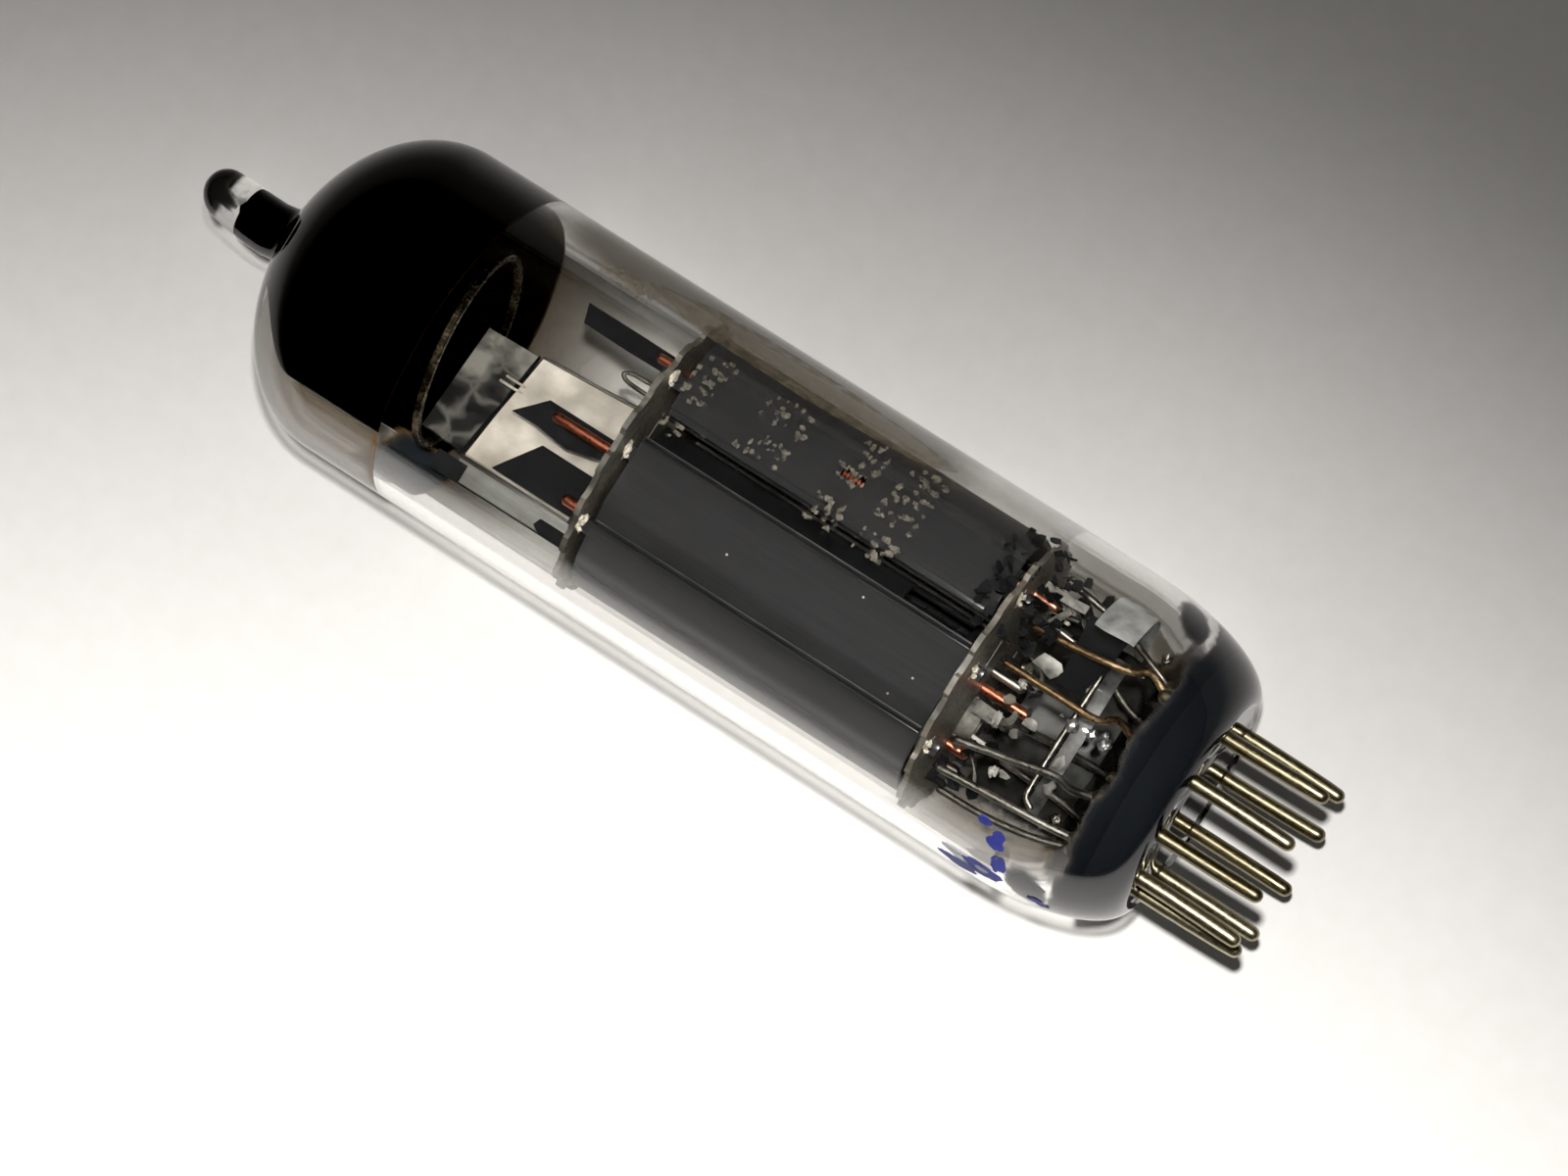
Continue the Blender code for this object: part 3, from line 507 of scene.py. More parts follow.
def sweep(bm, path, radius, sides=12, rounded=True):
    """A round wire along a path. radius is one number, or a function of the share of the way along."""
    size = radius if callable(radius) else (lambda share: radius)
    last = len(path) - 1
    along = (path[1] - path[0]).normalized()
    side = along.orthogonal().normalized()
    loops = []
    for i, point in enumerate(path):
        ahead = (path[min(i + 1, last)] - path[max(i - 1, 0)]).normalized()
        side = (side - ahead * side.dot(ahead)).normalized()
        other = ahead.cross(side)
        r = size(i / last)

        def ring(centre, scale):
            angles = [tau * k / sides for k in range(sides)]
            return [centre + (side * cos(t) + other * sin(t)) * scale for t in angles]

        if rounded and i == 0:
            loops += [ring(point - ahead * r * cos(t), r * sin(t)) for t in (0.35, 0.75, 1.15)]
        loops.append(ring(point, r))
        if rounded and i == last:
            loops += [ring(point + ahead * r * cos(t), r * sin(t)) for t in (1.15, 0.75, 0.35)]
    skin(bm, loops)


def box(bm, low, high):
    centre = (Vector(low) + Vector(high)) / 2
    size = Vector(high) - Vector(low)
    bmesh.ops.create_cube(bm, size=1.0, matrix=Matrix.Translation(centre) @ Matrix.Diagonal((*size, 1.0)))


def boxes(bm, xs, ys, zs):
    """A box in the front half of the cage and its mirror image in the rear half."""
    for low, high in (zs, (-zs[1], -zs[0])):
        box(bm, (xs[0], ys[0], low), (xs[1], ys[1], high))


def plate(bm, corners, thickness):
    """A flat sheet with the given corners, thickened to one side."""
    points = [Vector(corner) for corner in corners]
    normal = (points[1] - points[0]).cross(points[2] - points[1]).normalized() * thickness
    skin(bm, [points, [point + normal for point in points]])


def ribbon(bm, path, width, thickness):
    """A flat strip along a path; width is the vector across it."""
    half = Vector(width) / 2
    last = len(path) - 1
    loops = []
    for i, point in enumerate(path):
        ahead = (path[min(i + 1, last)] - path[max(i - 1, 0)]).normalized()
        up = ahead.cross(half).normalized() * thickness / 2
        loops.append([point - half - up, point + half - up, point + half + up, point - half + up])
    skin(bm, loops)


def bead(bm, centre, radii, seed=0.0, rough=0.0):
    """A round blob, slightly uneven if rough."""
    made = bmesh.ops.create_icosphere(bm, subdivisions=3, radius=1.0)
    for vert in made["verts"]:
        push = 1.0 + rough * noise.noise(vert.co * 1.7 + Vector((seed, 0, 0)))
        vert.co = Vector([c * r for c, r in zip(vert.co * push, radii)]) + Vector(centre)


def corners_of(outline):
    """Each corner of a closed outline with the corners before and after it."""
    count = len(outline)
    return [[Vector(outline[(i + k) % count]) for k in (-1, 0, 1)] for i in range(count)]


def filleted(outline, radius, steps=4):
    """The same closed outline of (y, z) points with its corners rounded."""
    made = []
    for before, here, after in corners_of(outline):
        to_before, to_after = before - here, after - here
        reach = min(radius, to_before.length * 0.45, to_after.length * 0.45)
        start = here + to_before.normalized() * reach
        end = here + to_after.normalized() * reach
        for k in range(steps + 1):
            t = k / steps
            made.append(start * (1 - t) ** 2 + here * 2 * t * (1 - t) + end * t**2)
    return made


def inset(outline, distance):
    """Move each side of a closed outline by a distance towards its left."""
    moved = []
    for before, here, after in corners_of(outline):
        side_in = (here - before).normalized()
        side_out = (after - here).normalized()
        normal_in = Vector((-side_in.y, side_in.x))
        middle = (normal_in + Vector((-side_out.y, side_out.x))).normalized()
        moved.append(here + middle * (distance / max(middle.dot(normal_in), 0.3)))
    return moved


def sheet_tube(bm, outline, rows, thickness, window=None):
    """A tube of bent sheet along X. window is (first side, last side, low row, high row) left open."""
    inner = inset(outline, thickness)
    count = len(outline)
    grids = []
    for wall in (outline, inner):
        grids.append([[bm.verts.new((x, p[0], p[1])) for p in wall] for x in rows])
    open_cells = set()
    if window:
        first, last, low, high = window
        open_cells = {(r, i % count) for r in range(low, high) for i in range(first, last)}
    for grid in grids:
        for r in range(len(rows) - 1):
            for i in range(count):
                if (r, i) not in open_cells:
                    j = (i + 1) % count
                    bm.faces.new((grid[r][i], grid[r][j], grid[r + 1][j], grid[r + 1][i]))
    outer, inside = grids
    for r in (0, len(rows) - 1):
        for i in range(count):
            j = (i + 1) % count
            bm.faces.new((outer[r][i], outer[r][j], inside[r][j], inside[r][i]))
    for r, i in open_cells:
        j = (i + 1) % count
        for near, a, b in (
            ((r - 1, i), (r, i), (r, j)),
            ((r + 1, i), (r + 1, i), (r + 1, j)),
            ((r, (i - 1) % count), (r, i), (r + 1, i)),
            ((r, j), (r, j), (r + 1, j)),
        ):
            if near not in open_cells:
                bm.faces.new((outer[a[0]][a[1]], outer[b[0]][b[1]], inside[b[0]][b[1]], inside[a[0]][a[1]]))


def helix(centre, half_y, half_z, low, high, pitch, steps=18):
    made = []
    for i in range(int((high - low) / pitch) * steps + 1):
        turn = tau * i / steps
        made.append((low + pitch * i / steps, centre + half_y * cos(turn), half_z * sin(turn)))
    return [Vector(point) for point in made]


def thin_sheet(bm, point_at, wide, tall, offsets, wrap=False):
    """A thin closed sheet between two walls; point_at(i, j, off) gives the points of the wall at off."""
    walls = []
    for off in offsets:
        walls.append([[bm.verts.new(point_at(i, j, off)) for j in range(tall)] for i in range(wide)])
    outer, inner = walls
    for i in range(wide if wrap else wide - 1):
        k = (i + 1) % wide
        for grid in walls:
            for j in range(tall - 1):
                bm.faces.new((grid[i][j], grid[k][j], grid[k][j + 1], grid[i][j + 1]))
        for j in (0, tall - 1):
            bm.faces.new((outer[i][j], outer[k][j], inner[k][j], inner[i][j]))
    for i in () if wrap else (0, wide - 1):
        for j in range(tall - 1):
            bm.faces.new((outer[i][j], outer[i][j + 1], inner[i][j + 1], inner[i][j]))
    return walls


def pin_centre(number):
    angle = -PIN_PITCH * number
    return -PIN_CIRCLE * cos(angle), PIN_CIRCLE * sin(angle)


PINS = {number: pin_centre(number) for number in range(1, PIN_COUNT + 1)}


# ---------------------------------------------------------------- glass


def near_pin(point):
    return min(hypot(point.y - y, point.z - z) for y, z in PINS.values())


def lean_tip(point):
    """The pulled-off exhaust tip is not quite straight."""
    reach = max(0.0, min(1.0, (point.x - 64.3) / 2.0)) * max(0.0, min(1.0, (71.2 - point.x) / 4.0))
    return point + Vector((0.0, 0.35 * reach, 0.0))


def shape_outside(point):
    """Glass rises a little where each pin leaves the base."""
    if point.x < 0.5 and 4.4 < hypot(point.y, point.z) < 7.4:
        return point - Vector((0.2 * exp(-((near_pin(point) / 0.85) ** 2)), 0, 0))
    return lean_tip(point)


def shape_inside(point):
    """Inside the bulb the glass climbs each pin as a small hill."""
    if point.x < 2.9:
        return point + Vector((0.45 * exp(-((near_pin(point) / 0.8) ** 2)), 0, 0))
    return lean_tip(point)


def make_glass():
    dome_end = degrees(acos(2.6 / OUTER_RADIUS))
    outside = [(0.0, 0.0005), (0.0, 1.5), (0.0, 3.0), (0.0, 4.2), (0.02, 4.5), (0.1, 4.75)]
    outside += [(0.15, 4.9 + 0.15 * i) for i in range(14)]
    outside += arc((9.2, 7.0), (9.2, OUTER_RADIUS - 7.0), 179, 90, 30)
    outside += [(9.2 + 4.0 * i, OUTER_RADIUS) for i in range(1, 12)]
    outside += arc((DOME_X, 0), (OUTER_DOME, OUTER_RADIUS), 90, 90 - dome_end, 30)
    neck = outside[-1][0]
    outside += [(neck + 0.2, 2.15), (neck + 0.45, 1.9), (neck + 0.8, 1.78)]
    outside += [(66.4, 1.76), (67.5, 1.74), (69.0, 1.69)]
    outside += arc((69.9, 0.0), (TIP_END_X - 69.9, 1.6), 78, 0.02, 12)
    inside = [(2.4, 0.0005), (2.4, 1.5), (2.4, 3.0)]
    inside += [(2.4, 3.6 + 0.16 * i) for i in range(17)]
    inside += arc((9.6, 6.4), (7.2, INNER_RADIUS - 6.4), 178, 90, 26)
    inside += [(9.6 + 4.76 * i, INNER_RADIUS) for i in range(1, 10)]
    inside += arc((DOME_X, 0), (INNER_DOME, INNER_RADIUS), 90, 7.2, 26)
    inside += [(64.5, 0.95), (64.95, 0.82), (66.5, 0.8), (67.6, 0.74)]
    inside += [(68.2, 0.58), (68.6, 0.32), (68.8, 0.0005)]
    bm = bmesh.new()
    lathe(bm, outside, GLASS_STEPS, shape_outside)
    lathe(bm, inside, GLASS_STEPS, shape_inside)
    nodes = ("glass_bulb", "stem_button")
    turn_cavity(piece("glass_envelope", bm, "glass", nodes, caged=False, smooth=60))


def turn_cavity(made):
    """The cavity's faces look into the cavity, which is out of the glass."""
    bm = bmesh.new()
    bm.from_mesh(made.data)
    bm.faces.ensure_lookup_table()
    centres = {face: face.calc_center_median() for face in bm.faces}
    seed = next(f for f, c in centres.items() if abs(c.x - 30 * MM) < 3 * MM and c.yz.length < 10 * MM)
    island, todo = {seed}, [seed]
    while todo:
        for edge in todo.pop().edges:
            for face in edge.link_faces:
                if face not in island:
                    island.add(face)
                    todo.append(face)
    if seed.normal.yz.dot(centres[seed].yz) > 0:
        bmesh.ops.reverse_faces(bm, faces=list(island))
    bm.to_mesh(made.data)
    bm.free()


# ---------------------------------------------------------------- films on the glass


def smoothstep(value):
    value = max(0.0, min(1.0, value))
    return value * value * (3 - 2 * value)


def film_edge_x(angle):
    """Where the film ends towards the base: a little higher on the front side, and wavy."""
    wave = 0.12 * noise.noise(Vector((2.2 * cos(angle), 2.2 * sin(angle), 4.0)))
    return 51.75 + 0.5 * sin(angle) + wave


def film_side(x):
    """How far across the black film reaches towards its clear side, at a height."""
    return 7.04 - 4.2 * smoothstep((x - 58.6) / 5.2)


def half_gap(x, r):
    """Half the angle of the film's clear side, at a height."""
    return acos(max(-1.0, min(1.0, film_side(x) / max(r, film_side(x)))))


def wall_profile(low, off):
    """The cavity's wall from a height up into the tip, as (x, r), moved out into the glass by off."""
    side = [(low + (DOME_X - low) * (i / 10) ** 1.6, INNER_RADIUS + off) for i in range(10)]
    dome = arc((DOME_X, 0), (INNER_DOME + off, INNER_RADIUS + off), 90, 7.2, 26)
    bore = [(64.5, 0.95), (64.95, 0.82), (66.5, 0.8), (67.6, 0.74), (68.4, 0.6)]
    return side + dome + [(x, r + off + FILM_IN_TIP) for x, r in bore]


def film_piece(name, point_at, wide, tall, finish, nodes=(), wrap=False, offsets=IN_GLASS):
    """A film along the wall. point_at(i, j, off) gives a point and the film's strength there."""
    bm = bmesh.new()
    layer = bm.verts.layers.float.new(STRENGTH)
    walls = thin_sheet(bm, lambda *place: point_at(*place)[0], wide, tall, offsets, wrap)
    for off, grid in zip(offsets, walls):
        for i, column in enumerate(grid):
            for j, vert in enumerate(column):
                vert[layer] = point_at(i, j, off)[1]
    piece(name, bm, finish, nodes, smooth=60)


def make_films():
    """The black mirror, the thin brown film in its gap, and a faint film on the wall under it that is partly
    painted shadow of the tube on the table behind.
    """
    wide = 150
    tall = len(wall_profile(52.0, 0.0))

    def mirror(i, j, off):
        share = i / (wide - 1)
        share = share * 0.85 + smoothstep(share) * 0.15
        low = film_edge_x(radians(43) + share * radians(274))
        x, r = wall_profile(low, off)[j]
        gap = half_gap(x, r)
        angle = gap + share * (tau - 2 * gap)
        point = polar(x, r, angle)
        from_side = (film_side(x) - point.y) / 0.45 if gap > 0.05 else 1.0
        from_edge = (x - low) / (0.6 - 0.2 * sin(angle))
        return lean_tip(point), min(smoothstep(from_side + 0.12), smoothstep(from_edge + 0.12))

    film_piece("mirror_film", mirror, wide, tall, "film", ("getter_mirror",))

    def tint(i, j, off):
        share = i / 40
        low = film_edge_x((share - 0.5) * radians(86))
        x, r = wall_profile(low, off)[j]
        gap = max(half_gap(x, r) - 0.012, 0.0)
        limb = 0.75 * exp(-(((share - 0.5) / 0.2) ** 2))
        return polar(x, r, gap * (2 * share - 1)), smoothstep((x - low) / 0.7) * (1 - limb)

    film_piece("mirror_tint", tint, 41, 26, "tint")

    def patch(i, j, off):
        angle = radians(-48 + 46 * i / 20)
        up = 5.2 * j / 20
        across = 1 - abs(i - 10) / 10
        strength = min(smoothstep(3 * across), smoothstep(up / 0.6), smoothstep((5.2 - up) / 1.8))
        return polar(film_edge_x(angle) - 1.5 + up, INNER_RADIUS + off - 0.12, angle), strength

    film_piece("bluish_patch", patch, 21, 21, "bluish")
    start = pi + acos(8.1 / INNER_RADIUS)
    end = tau - acos(9.2 / INNER_RADIUS)

    # partly a faint film under the mirror, partly painted shadow: darker nearer the mirror, where the table
    # behind lies in the tube's shadow
    def haze_and_shadow(i, j, off):
        angle = start + (end - start) * i / 60
        top = film_edge_x(angle) + 0.9
        x = 40.4 + (top - 40.4) * j / 14
        strength = 0.15 + 0.85 * smoothstep((x - 41.0) / 11.5) ** 1.5
        return polar(x, INNER_RADIUS + off, angle), strength

    film_piece("wall_haze_and_shadow", haze_and_shadow, 61, 15, "haze_and_shadow", offsets=(0.28, 0.22))

    # a brown film down the triode's side of the wall, denser higher up and faded at its ends
    def side_haze(i, j, off):
        angle = radians(141 + 71 * i / 30)
        x = 14.0 + 37.5 * j / 24
        edge = smoothstep(4 - abs(i - 15) / 15 * 4)
        along = (0.62 + 0.3 * smoothstep((x - 20) / 25)) * (0.3 + 0.7 * smoothstep((x - 20.5) / 3))
        return polar(x, INNER_RADIUS + off, angle), edge * along * smoothstep((51.2 - x) / 3)

    film_piece("side_haze", side_haze, 31, 25, "brownish_film")

    low_wall = arc((9.6, 6.4), (7.2, 3.3), 152, 90, 9) + [(9.6 + 1.1 * k, INNER_RADIUS) for k in range(1, 8)]

    # a brown film low on the back wall, thinning out upward
    def low_haze(i, j, off):
        x, r = low_wall[j]
        return polar(x, r + off, radians(184 + 172 * i / 40)), smoothstep((16.5 - x) / 3.5)

    film_piece("low_haze", low_haze, 41, 17, "brownish_film", offsets=IN_BULB)

    # a dark film low on the back wall, densest in the middle and thinning out upward
    def low_dark_film(i, j, off):
        x, r = low_wall[j]
        middle = smoothstep(3 - 3 * abs(i - 20) / 20)
        return polar(x, r + off, radians(224 + 94 * i / 40)), 0.6 * middle * smoothstep((16.0 - x) / 4)

    film_piece("low_dark_film", low_dark_film, 41, 17, "dark_film", offsets=(-0.15, -0.2))

    def tip_soot(i, j, off):
        angle = tau * i / 36
        x, r = (68.7, 1.25) if j == 0 else arc((69.5, 0), (1.65, 1.3), 90, 3, 10)[j]
        streak = 1.5 * exp(-(((degrees(angle) - 84) / 13) ** 2))
        return lean_tip(polar(x + 0.1 - off, r + 0.1 - off, angle)), smoothstep((x - 69.9 + streak) / 0.4)

    film_piece("tip_soot", tip_soot, 36, 11, "dark_film", wrap=True)


def dark_film_strength(x, angle):
    """The dark film climbs highest at the back; two spots stand alone at the sides."""
    turn = degrees(angle)
    ragged = 0.35 * noise.noise(Vector((4 * cos(angle), 4 * sin(angle), 1.0)))
    top = 4.1 + 4.6 * exp(-(((turn - 270) / 48) ** 2)) + ragged
    up = x - 5.5
    spots = [exp(-(((turn - at - 4 * up) / 8) ** 2 + ((up - ragged) / 0.75) ** 2)) for at in (18, 160)]
    return max(smoothstep((top - x) / 0.9), smoothstep(1.6 * max(spots)))


def make_stem_film():
    """A dark film inside the base, and round it a dark band in the base glass: painted shade for the dark
    that the thick glass shows at the base.
    """
    steps = 120
    radii = [0.4] + [0.9 + 0.35 * i for i in range(16)]

    def dark_base_film(i, j, off):
        angle = tau * i / steps
        if j < len(radii):
            x, r = 2.4 - off, radii[j]
        else:
            x, r = arc((9.6, 6.4), (7.2 + off, 3.3 + off), 178, 91, 17)[j - len(radii)]
        return shape_inside(polar(x, r, angle)), dark_film_strength(x, angle)

    film_piece("stem_dark_film", dark_base_film, steps, len(radii) + 18, "dark_base_film", wrap=True)

    # painted shade: a dark band in the thick base glass, where the glass shows dark
    def dark_band(i, j, off):
        angle = tau * i / steps
        x, r = arc((9.3, 6.7), (8.8, 3.4 + off), 179, 140, 9)[j]
        ragged = 0.15 * noise.noise(Vector((3 * cos(angle), 3 * sin(angle), 6.0)))
        return polar(x, r, angle), smoothstep((2.9 + ragged - x) / 0.5)

    film_piece("stem_band_painted_shade", dark_band, steps, 10, "dark_base_film", wrap=True)


# ---------------------------------------------------------------- pins and leads

LEAD_ROUTES = {
    9: ((5.5, 5.1, 3.7), (6.7, 4.6, 3.3), (9.0, 4.25, 3.1), (13.2, 3.85, 2.9)),
    8: ((5.4, 1.8, 5.1), (6.7, 1.2, 4.5), (9.0, 1.15, 4.3), (13.3, 1.2, 4.1)),
    7: ((5.7, -2.95, 4.9), (7.0, -2.8, 4.5), (10.0, -3.4, 4.2), (13.3, -4.1, 4.0)),
    6: ((6.3, -5.5, 2.7), (9.5, -5.75, 2.5), (13.6, -6.05, 2.4)),
    5: ((7.0, -6.7, -1.0), (10.5, -7.2, -1.3), (13.5, -7.3, -1.4)),
    4: ((6.5, -4.0, -3.3), (9.0, -3.9, -2.4), (11.2, -3.8, -1.6)),
    3: ((6.5, -1.2, -4.8), (9.0, -1.3, -3.2), (11.2, -1.5, -1.6)),
    2: ((6.5, 3.0, -4.8), (9.5, 4.2, -3.9), (13.4, 4.7, -3.4)),
    1: ((6.5, 5.9, -2.5), (9.5, 6.8, -1.6), (13.5, 7.4, -0.8)),
}
PIN_BENDS = {
    1: (0.1, 0.0), 2: (-0.12, 0.05), 3: (0.05, -0.1), 4: (0.1, 0.08), 5: (-0.1, 0.0),
    6: (0.16, -0.05), 7: (-0.05, 0.1), 8: (0.12, 0.0), 9: (-0.08, -0.08),
}


def make_pins_and_leads():
    low = PIN_END_X + PIN_RADIUS
    for number, (y, z) in PINS.items():
        bend_y, bend_z = PIN_BENDS[number]
        path = []
        for i in range(25):
            x = low + (PIN_TOP_X - low) * i / 24
            off = max(0.0, x / PIN_END_X) ** 2
            path.append(Vector((x, y + bend_y * off, z + bend_z * off)))

        def radius(share):
            x = low + (PIN_TOP_X - low) * share
            swell = 0.012 * noise.noise(Vector((x * 1.3, number * 5.0, 0.0)))
            return PIN_RADIUS - 0.01 + swell - 0.03 * smoothstep((-x - 5.5) / 1.2)

        bm = mesh_of(sweep, (path, radius, 20))
        piece(f"contact_pin_{number}", bm, "pin", (f"pin_{number}",), caged=False, smooth=50)
        route = [Vector((PIN_TOP_X - 0.1, y, z))] + [CAGE @ point for point in fronts(*LEAD_ROUTES[number])]
        bm = mesh_of(sweep, (curve_through(route, 8), 0.24, 12))
        bead(bm, route[0].lerp(route[1], 0.12), (0.4, 0.34, 0.34), number, 0.3)
        finish = "gold" if number in (8, 9) else "nickel"
        piece(f"inner_lead_{number}", bm, finish, (f"lead_{number}",), caged=False, smooth=50)


# ---------------------------------------------------------------- mica


TEETH = 20
TOOTH = ((0.0, 9.0), (0.16, 9.05), (0.24, 9.38), (0.45, 9.4), (0.64, 9.37), (0.74, 9.1), (0.84, 9.0))


def mica_outline(torn):
    """A toothed rim, cut unevenly; the torn one has lost pieces on the triode's side."""
    points = []
    for tooth in range(TEETH):
        lift = DICE.uniform(-0.08, 0.0)
        for share, radius in TOOTH:
            angle = tau / TEETH * (tooth + share + DICE.uniform(-0.02, 0.02))
            radius += lift + DICE.uniform(-0.04, 0.0)
            if torn and cos(angle) < -0.85:
                radius += DICE.uniform(-0.55, 0.0)
            points.append((radius * cos(angle), radius * sin(angle)))
    return points


def circle(y, z, radius):
    angles = [tau * i / 20 for i in range(20)]
    return [(y + radius * cos(angle), z + radius * sin(angle)) for angle in angles]


def rectangle(y, z, half_y, half_z):
    return [(y + a * half_y, z + b * half_z) for a, b in ((-1, -1), (1, -1), (1, 1), (-1, 1))]


def cut_sheet(bm, outline, holes, x, thickness):
    """A flat sheet square to X with holes through it, made by filling a flat curve."""
    curve = bpy.data.curves.new("outline_helper", "CURVE")
    curve.dimensions = "2D"
    curve.fill_mode = "BOTH"
    curve.extrude = thickness / 2
    for loop in [outline] + holes:
        spline = curve.splines.new("POLY")
        spline.points.add(len(loop) - 1)
        for point, (y, z) in zip(spline.points, loop):
            point.co = (y, z, 0.0, 1.0)
        spline.use_cyclic_u = True
    helper = bpy.data.objects.new("outline_helper", curve)
    bpy.context.scene.collection.objects.link(helper)
    filled = helper.evaluated_get(bpy.context.evaluated_depsgraph_get()).to_mesh()
    before = set(bm.verts)
    bm.from_mesh(filled)
    for vert in bm.verts:
        if vert not in before:
            vert.co = Vector((x + vert.co.z, vert.co.x, vert.co.y))
    helper.evaluated_get(bpy.context.evaluated_depsgraph_get()).to_mesh_clear()
    bpy.data.objects.remove(helper)
    bpy.data.curves.remove(curve)


TIE_RODS = ((-1.6, -7.3), (6.2, -6.2))
ROD_HOLES = [
    (PENTODE_Y + side * off, 0.0, radius)
    for off, radius in ((1.95, 0.47), (3.1, 0.42), (4.15, 0.37))
    for side in (1, -1)
]
ROD_HOLES += [(TRIODE_Y, 2.3, 0.42), (TRIODE_Y, -2.3, 0.42), (TRIODE_Y, 0.0, 1.02)]
ROD_HOLES += [(y, z, 0.42) for y, z in TIE_RODS]
CREASES = ((-0.85, 6.66), (4.75, 6.02))  # the pentode anode's folds, as (y, how far they stand out)
EARS = ((0.2, 6.25), (5.2, 5.4), (-4.7, 5.83))  # two on the pentode's anode and one on the triode's


def make_micas():
    for where, x in MICA_X.items():
        torn = where == "lower"
        holes = [circle(*hole) for hole in ROD_HOLES]
        holes.append(rectangle(PENTODE_Y, 0.0, 1.38, 0.72))
        holes += [rectangle(y, side * z, 0.62, 0.22) for y, z in EARS for side in (1, -1)]
        holes += [rectangle(-1.3, side * 3.4, 0.9, 0.16) for side in (1, -1)]
        bm = mesh_of(cut_sheet, (mica_outline(torn), holes, x, MICA_THICKNESS))
        piece(f"{where}_mica_disc", bm, "mica", ("bottom_mica" if torn else "top_mica",), smooth=30)
    for number, (y, z) in enumerate(TIE_RODS, 1):
        bm = mesh_of(sweep, ([Vector((x, y, z)) for x in (13.5, 20, 27, 34, 40.9)], 0.3, 14))
        for x in (14.15, 14.85, 38.7, 39.4):
            sweep(bm, [Vector((x - 0.1, y, z)), Vector((x + 0.1, y, z))], 0.42, 14)
        piece(f"mica_tie_rod_{number}", bm, "nickel", (f"mica_rod_{number}",))


# ---------------------------------------------------------------- electrodes


def mirrored(front_half):
    """A closed outline, clockwise for its wall to grow inwards, from its front half."""
    back_half = [(y, -z) for y, z in reversed(front_half)]
    return list(reversed(front_half + back_half))


def side_of(outline, test):
    """The longest side of an outline whose two ends pass the test."""
    sides = list(zip(outline, outline[1:] + outline[:1]))
    return max(range(len(sides)), key=lambda i: (sides[i][0] - sides[i][1]).length * all(map(test, sides[i])))


def ear_bars(bm, ears, top, bottom):
    for y, z in ears:
        for xs in ((13.7, bottom), (top, 39.8)):
            boxes(bm, xs, (y - 0.42, y + 0.42), (z - 0.12, z + 0.12))


def long_line(y, z):
    return [Vector((x, y, z)) for x in (15.25, 27, 38.25)]


def make_pentode_anode():
    wing = arc((4.85, 0.0), (3.8, 5.65), 90, 8, 14)
    outline = mirrored([(-2.3, 3.0), (-1.0, 4.3), (-1.0, 6.4), (3.4, 6.4), (4.5, 5.78), *wing])
    outline = filleted(outline, 0.28, 3)
    step = side_of(outline, lambda p: p.x < -0.9 and 2.9 < p.y < 4.5)
    rows = [15.1, 15.22, 16.1, 18.3, 20.6, 26, 32, 38.28, 38.4]
    bm = mesh_of(sheet_tube, (outline, rows, SHEET, (step, step + 1, 2, 4)))
    for y, top in CREASES:
        for lip in (-0.16, 0.16):
            boxes(bm, (15.2, 38.3), (y + lip - 0.06, y + lip + 0.06), (5.5, top))
    ear_bars(bm, EARS[:2], 38.0, 15.5)
    # the recess's faces take the blackened finish: painted shade for the shadow deep in the recess
    recess_painted_shade = ("black", lambda c: -2.45 < c.y < -0.99 and 2.6 < c.z < 6.2)
    piece("pentode_anode_box", bm, "anode", ("pentode_anode",), bevel=0.03, second=recess_painted_shade)
    bm = mesh_of(sweep, *((long_line(y, top - 0.1), 0.1, 8) for y, top in CREASES))
    piece("crease_shadows", bm, "black")
    # light rods along the folds' edges: painted highlights
    bm = mesh_of(sweep, *((long_line(y - 0.2, top - 0.02), 0.04, 8) for y, top in CREASES))
    piece("crease_edges", bm, "edge")


def make_triode_anode():
    outline = filleted(mirrored([(-8.45, 3.3), (-7.1, 5.7), (-3.15, 6.15)]), 0.3, 3)
    at = side_of(outline, lambda p: p.y > 5)
    start, end = outline[at], outline[(at + 1) % len(outline)]
    slot_edges = sorted((-5.82, -5.2), reverse=start.x > end.x)
    outline[at + 1 : at + 1] = [start.lerp(end, (y - start.x) / (end.x - start.x)) for y in slot_edges]
    rows = [15.3, 15.42, 20.0, 25.85, 27.4, 32.0, 37.98, 38.1]
    bm = mesh_of(sheet_tube, (outline, rows, SHEET, (at + 1, at + 2, 3, 4)))
    boxes(bm, (15.4, 38.0), (-3.3, -2.85), (5.86, 6.07))
    ear_bars(bm, EARS[2:], 37.7, 15.7)
    piece("triode_anode_box", bm, "anode", ("triode_anode",), bevel=0.03)
    corners = [(15.1, -2.62, -5.4), (38.4, -2.62, -5.4), (38.4, -2.62, 5.4), (15.1, -2.62, 5.4)]
    plate_piece("middle_shield", corners, 0.2, "black", "system_shield")


def make_ear_tips():
    """The ears' bent ends, bare metal where they were twisted over the micas."""
    bm = bmesh.new()
    for number, (y, z) in enumerate(EARS):
        for x, depth, wide in ((14.15, 7.0, 0.34), (38.72, 7.1, 0.5)):
            bead(bm, (x, y - 0.1, depth), (0.2, wide * 0.75, 0.26), number + x, 0.9)
            bead(bm, (x - 0.1, y + 0.3, depth - 0.1), (0.17, 0.13, 0.14), number * x, 0.9)
    piece("ear_tips", bm, "tab", smooth=60)


def plate_piece(name, corners, thickness, finish, node):
    piece(name, mesh_of(plate, (corners, thickness)), finish, (node,), bevel=0.03)


def rod_path(span, y, z):
    low, high = span
    return [Vector((low + (high - low) * i / 12, y, z)) for i in range(13)]


